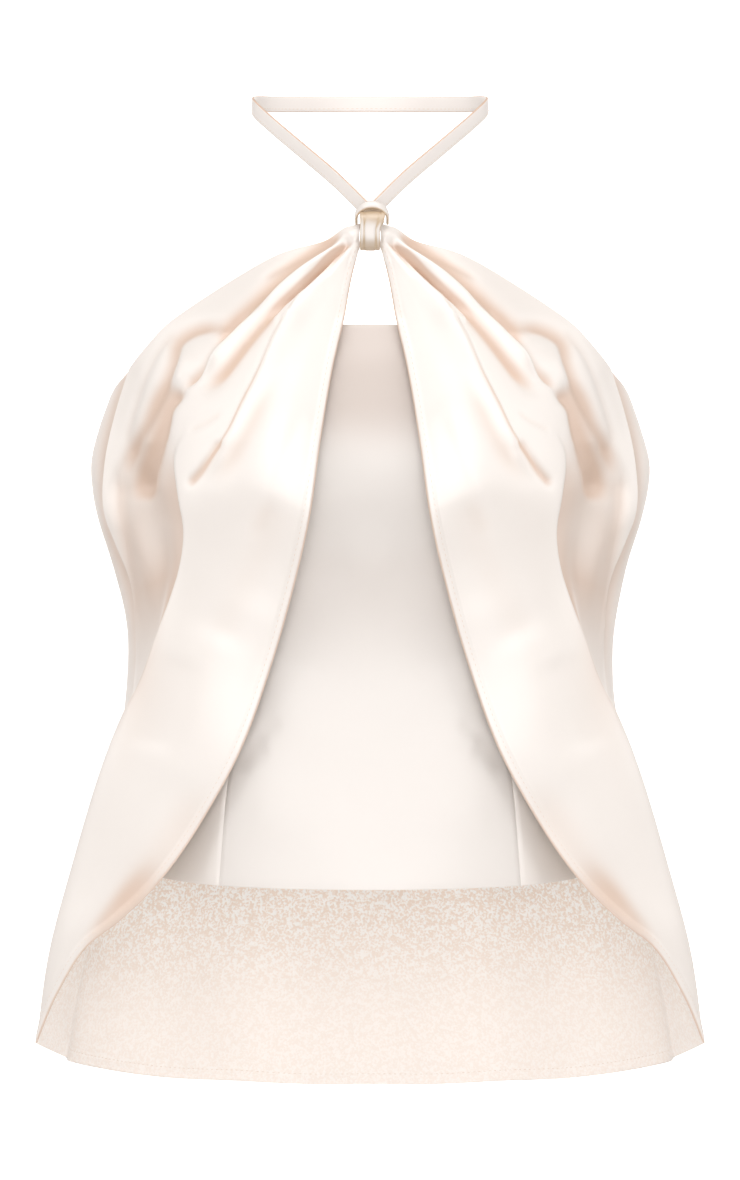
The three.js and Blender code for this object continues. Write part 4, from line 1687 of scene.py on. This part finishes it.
@dataclass(frozen=True)
class Softbox:
    """A rectangular light that faces the garment; place and size are in metres, power in watts."""

    name: str
    place: tuple[float, float, float]
    size: tuple[float, float]
    power: float

    AIM = Vector((0, -0.05, -0.28))

    def beside(self, side: Side) -> "Softbox":
        """The same light on one of the wearer's sides, where it is placed for the left one."""
        x, y, z = self.place
        return replace(self, name=f"{self.name}_{side.name.lower()}", place=(side.value * x, y, z))

    def build(self) -> None:
        """Adds the light."""
        data = bpy.data.lights.new(self.name, "AREA")
        data.shape = "RECTANGLE"
        data.size, data.size_y = self.size
        data.energy = self.power
        lamp = bpy.data.objects.new(self.name, data)
        lamp.location = self.place
        aim = self.AIM - Vector(self.place)
        lamp.rotation_euler = aim.to_track_quat("-Z", "Y").to_euler()
        bpy.context.scene.collection.objects.link(lamp)


@dataclass
class Studio:
    """A white seamless sweep, soft lights and the photograph's level camera; lengths are metres."""

    image_height: int = 1180
    metres_to_pixel: float = 0.53 * MM
    camera_distance: float = 2.4
    middle_depth: float = -0.05
    eye_level: float = -0.263
    floor_height: float = -0.72
    floor_radius: float = 0.95
    wall_distance: float = 3.2
    wall_size: tuple[float, float] = (1.6, 2.6)
    floor_paper: Paper = Paper("pale_floor", (0.8, 0.8, 0.8))
    wall_paper: Paper = Paper("lit_wall", (0.8, 0.8, 0.8), glow=1.1)
    ambient: tuple[float, float, float, float] = (1, 0.95, 0.91, 1)
    ambient_strength: float = 0.41

    MIDDLE_LIGHTS = (
        Softbox("softbox_key", (0.0, -2.75, -0.2), (1.7, 1.7), 23),
        Softbox("softbox_front", (0.0, -2.9, 0.1), (3.2, 2.6), 15),
        Softbox("softbox_top", (0.0, -0.9, 2.2), (2.6, 1.6), 42),
    )
    SIDE_LIGHTS = (
        Softbox("softbox", (2.5, -1.3, 0.5), (1.4, 2.0), 12),
        Softbox("flank", (2.3, 0.4, 0.3), (1.2, 2.0), 9),
        Softbox("rim", (0.95, 2.6, 0.0), (0.8, 2.2), 13),
    )

    def camera(self) -> None:
        """Sets the camera level with the garment's middle, at the photograph's scale."""
        data = bpy.data.cameras.new("camera")
        data.sensor_fit = "VERTICAL"
        data.sensor_height = 24
        data.lens = data.sensor_height * self.camera_distance / (self.image_height * self.metres_to_pixel)
        camera = bpy.data.objects.new("camera", data)
        camera.location = (0, self.middle_depth - self.camera_distance, self.eye_level)
        camera.rotation_euler = (math.pi / 2, 0, 0)
        bpy.context.scene.collection.objects.link(camera)
        bpy.context.scene.camera = camera

    def sweep(self) -> None:
        """Adds the pale floor and the bright wall far behind the garment."""
        pick_nothing()
        bpy.ops.mesh.primitive_circle_add(
            vertices=96, radius=self.floor_radius, fill_type="NGON", location=(0, 0, self.floor_height)
        )
        self.papered("studio_floor", self.floor_paper)
        pick_nothing()
        bpy.ops.mesh.primitive_plane_add(size=1, rotation=(math.pi / 2, 0, 0))
        wall = bpy.context.object
        wall.scale = (*self.wall_size, 1)
        wall.location = (0, self.wall_distance, self.eye_level)
        self.papered("studio_wall", self.wall_paper)

    def papered(self, name: str, paper: Paper) -> None:
        """Names the sheet that was added last and papers it.

        Args:
            name: the sheet's name.
            paper: its finish.
        """
        sheet = bpy.context.object
        sheet.name = name
        sheet.data.materials.append(paper.material())

    def build(self) -> None:
        """Sets the whole studio up."""
        self.camera()
        self.sweep()
        world = bpy.data.worlds.new("studio")
        bpy.context.scene.world = world
        world.use_nodes = True
        background = world.node_tree.nodes["Background"]
        socket_input(background, Color=self.ambient, Strength=self.ambient_strength)
        for light in self.MIDDLE_LIGHTS:
            light.build()
        for side in Side:
            for light in self.SIDE_LIGHTS:
                light.beside(side).build()
        bpy.context.scene.view_settings.view_transform = "Standard"


def main() -> None:
    """Builds the studio, then the garment on its frame."""
    logging.basicConfig(level=logging.INFO, format="%(message)s")
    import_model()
    pick_nothing()
    for part in (Studio(), FrontDrapes(), BackPanel(), Bodice(), NeckStrap(), Knot()):
        LOG.info("building %s", type(part).__name__)
        part.build()


if __name__ == "__main__":
    main()
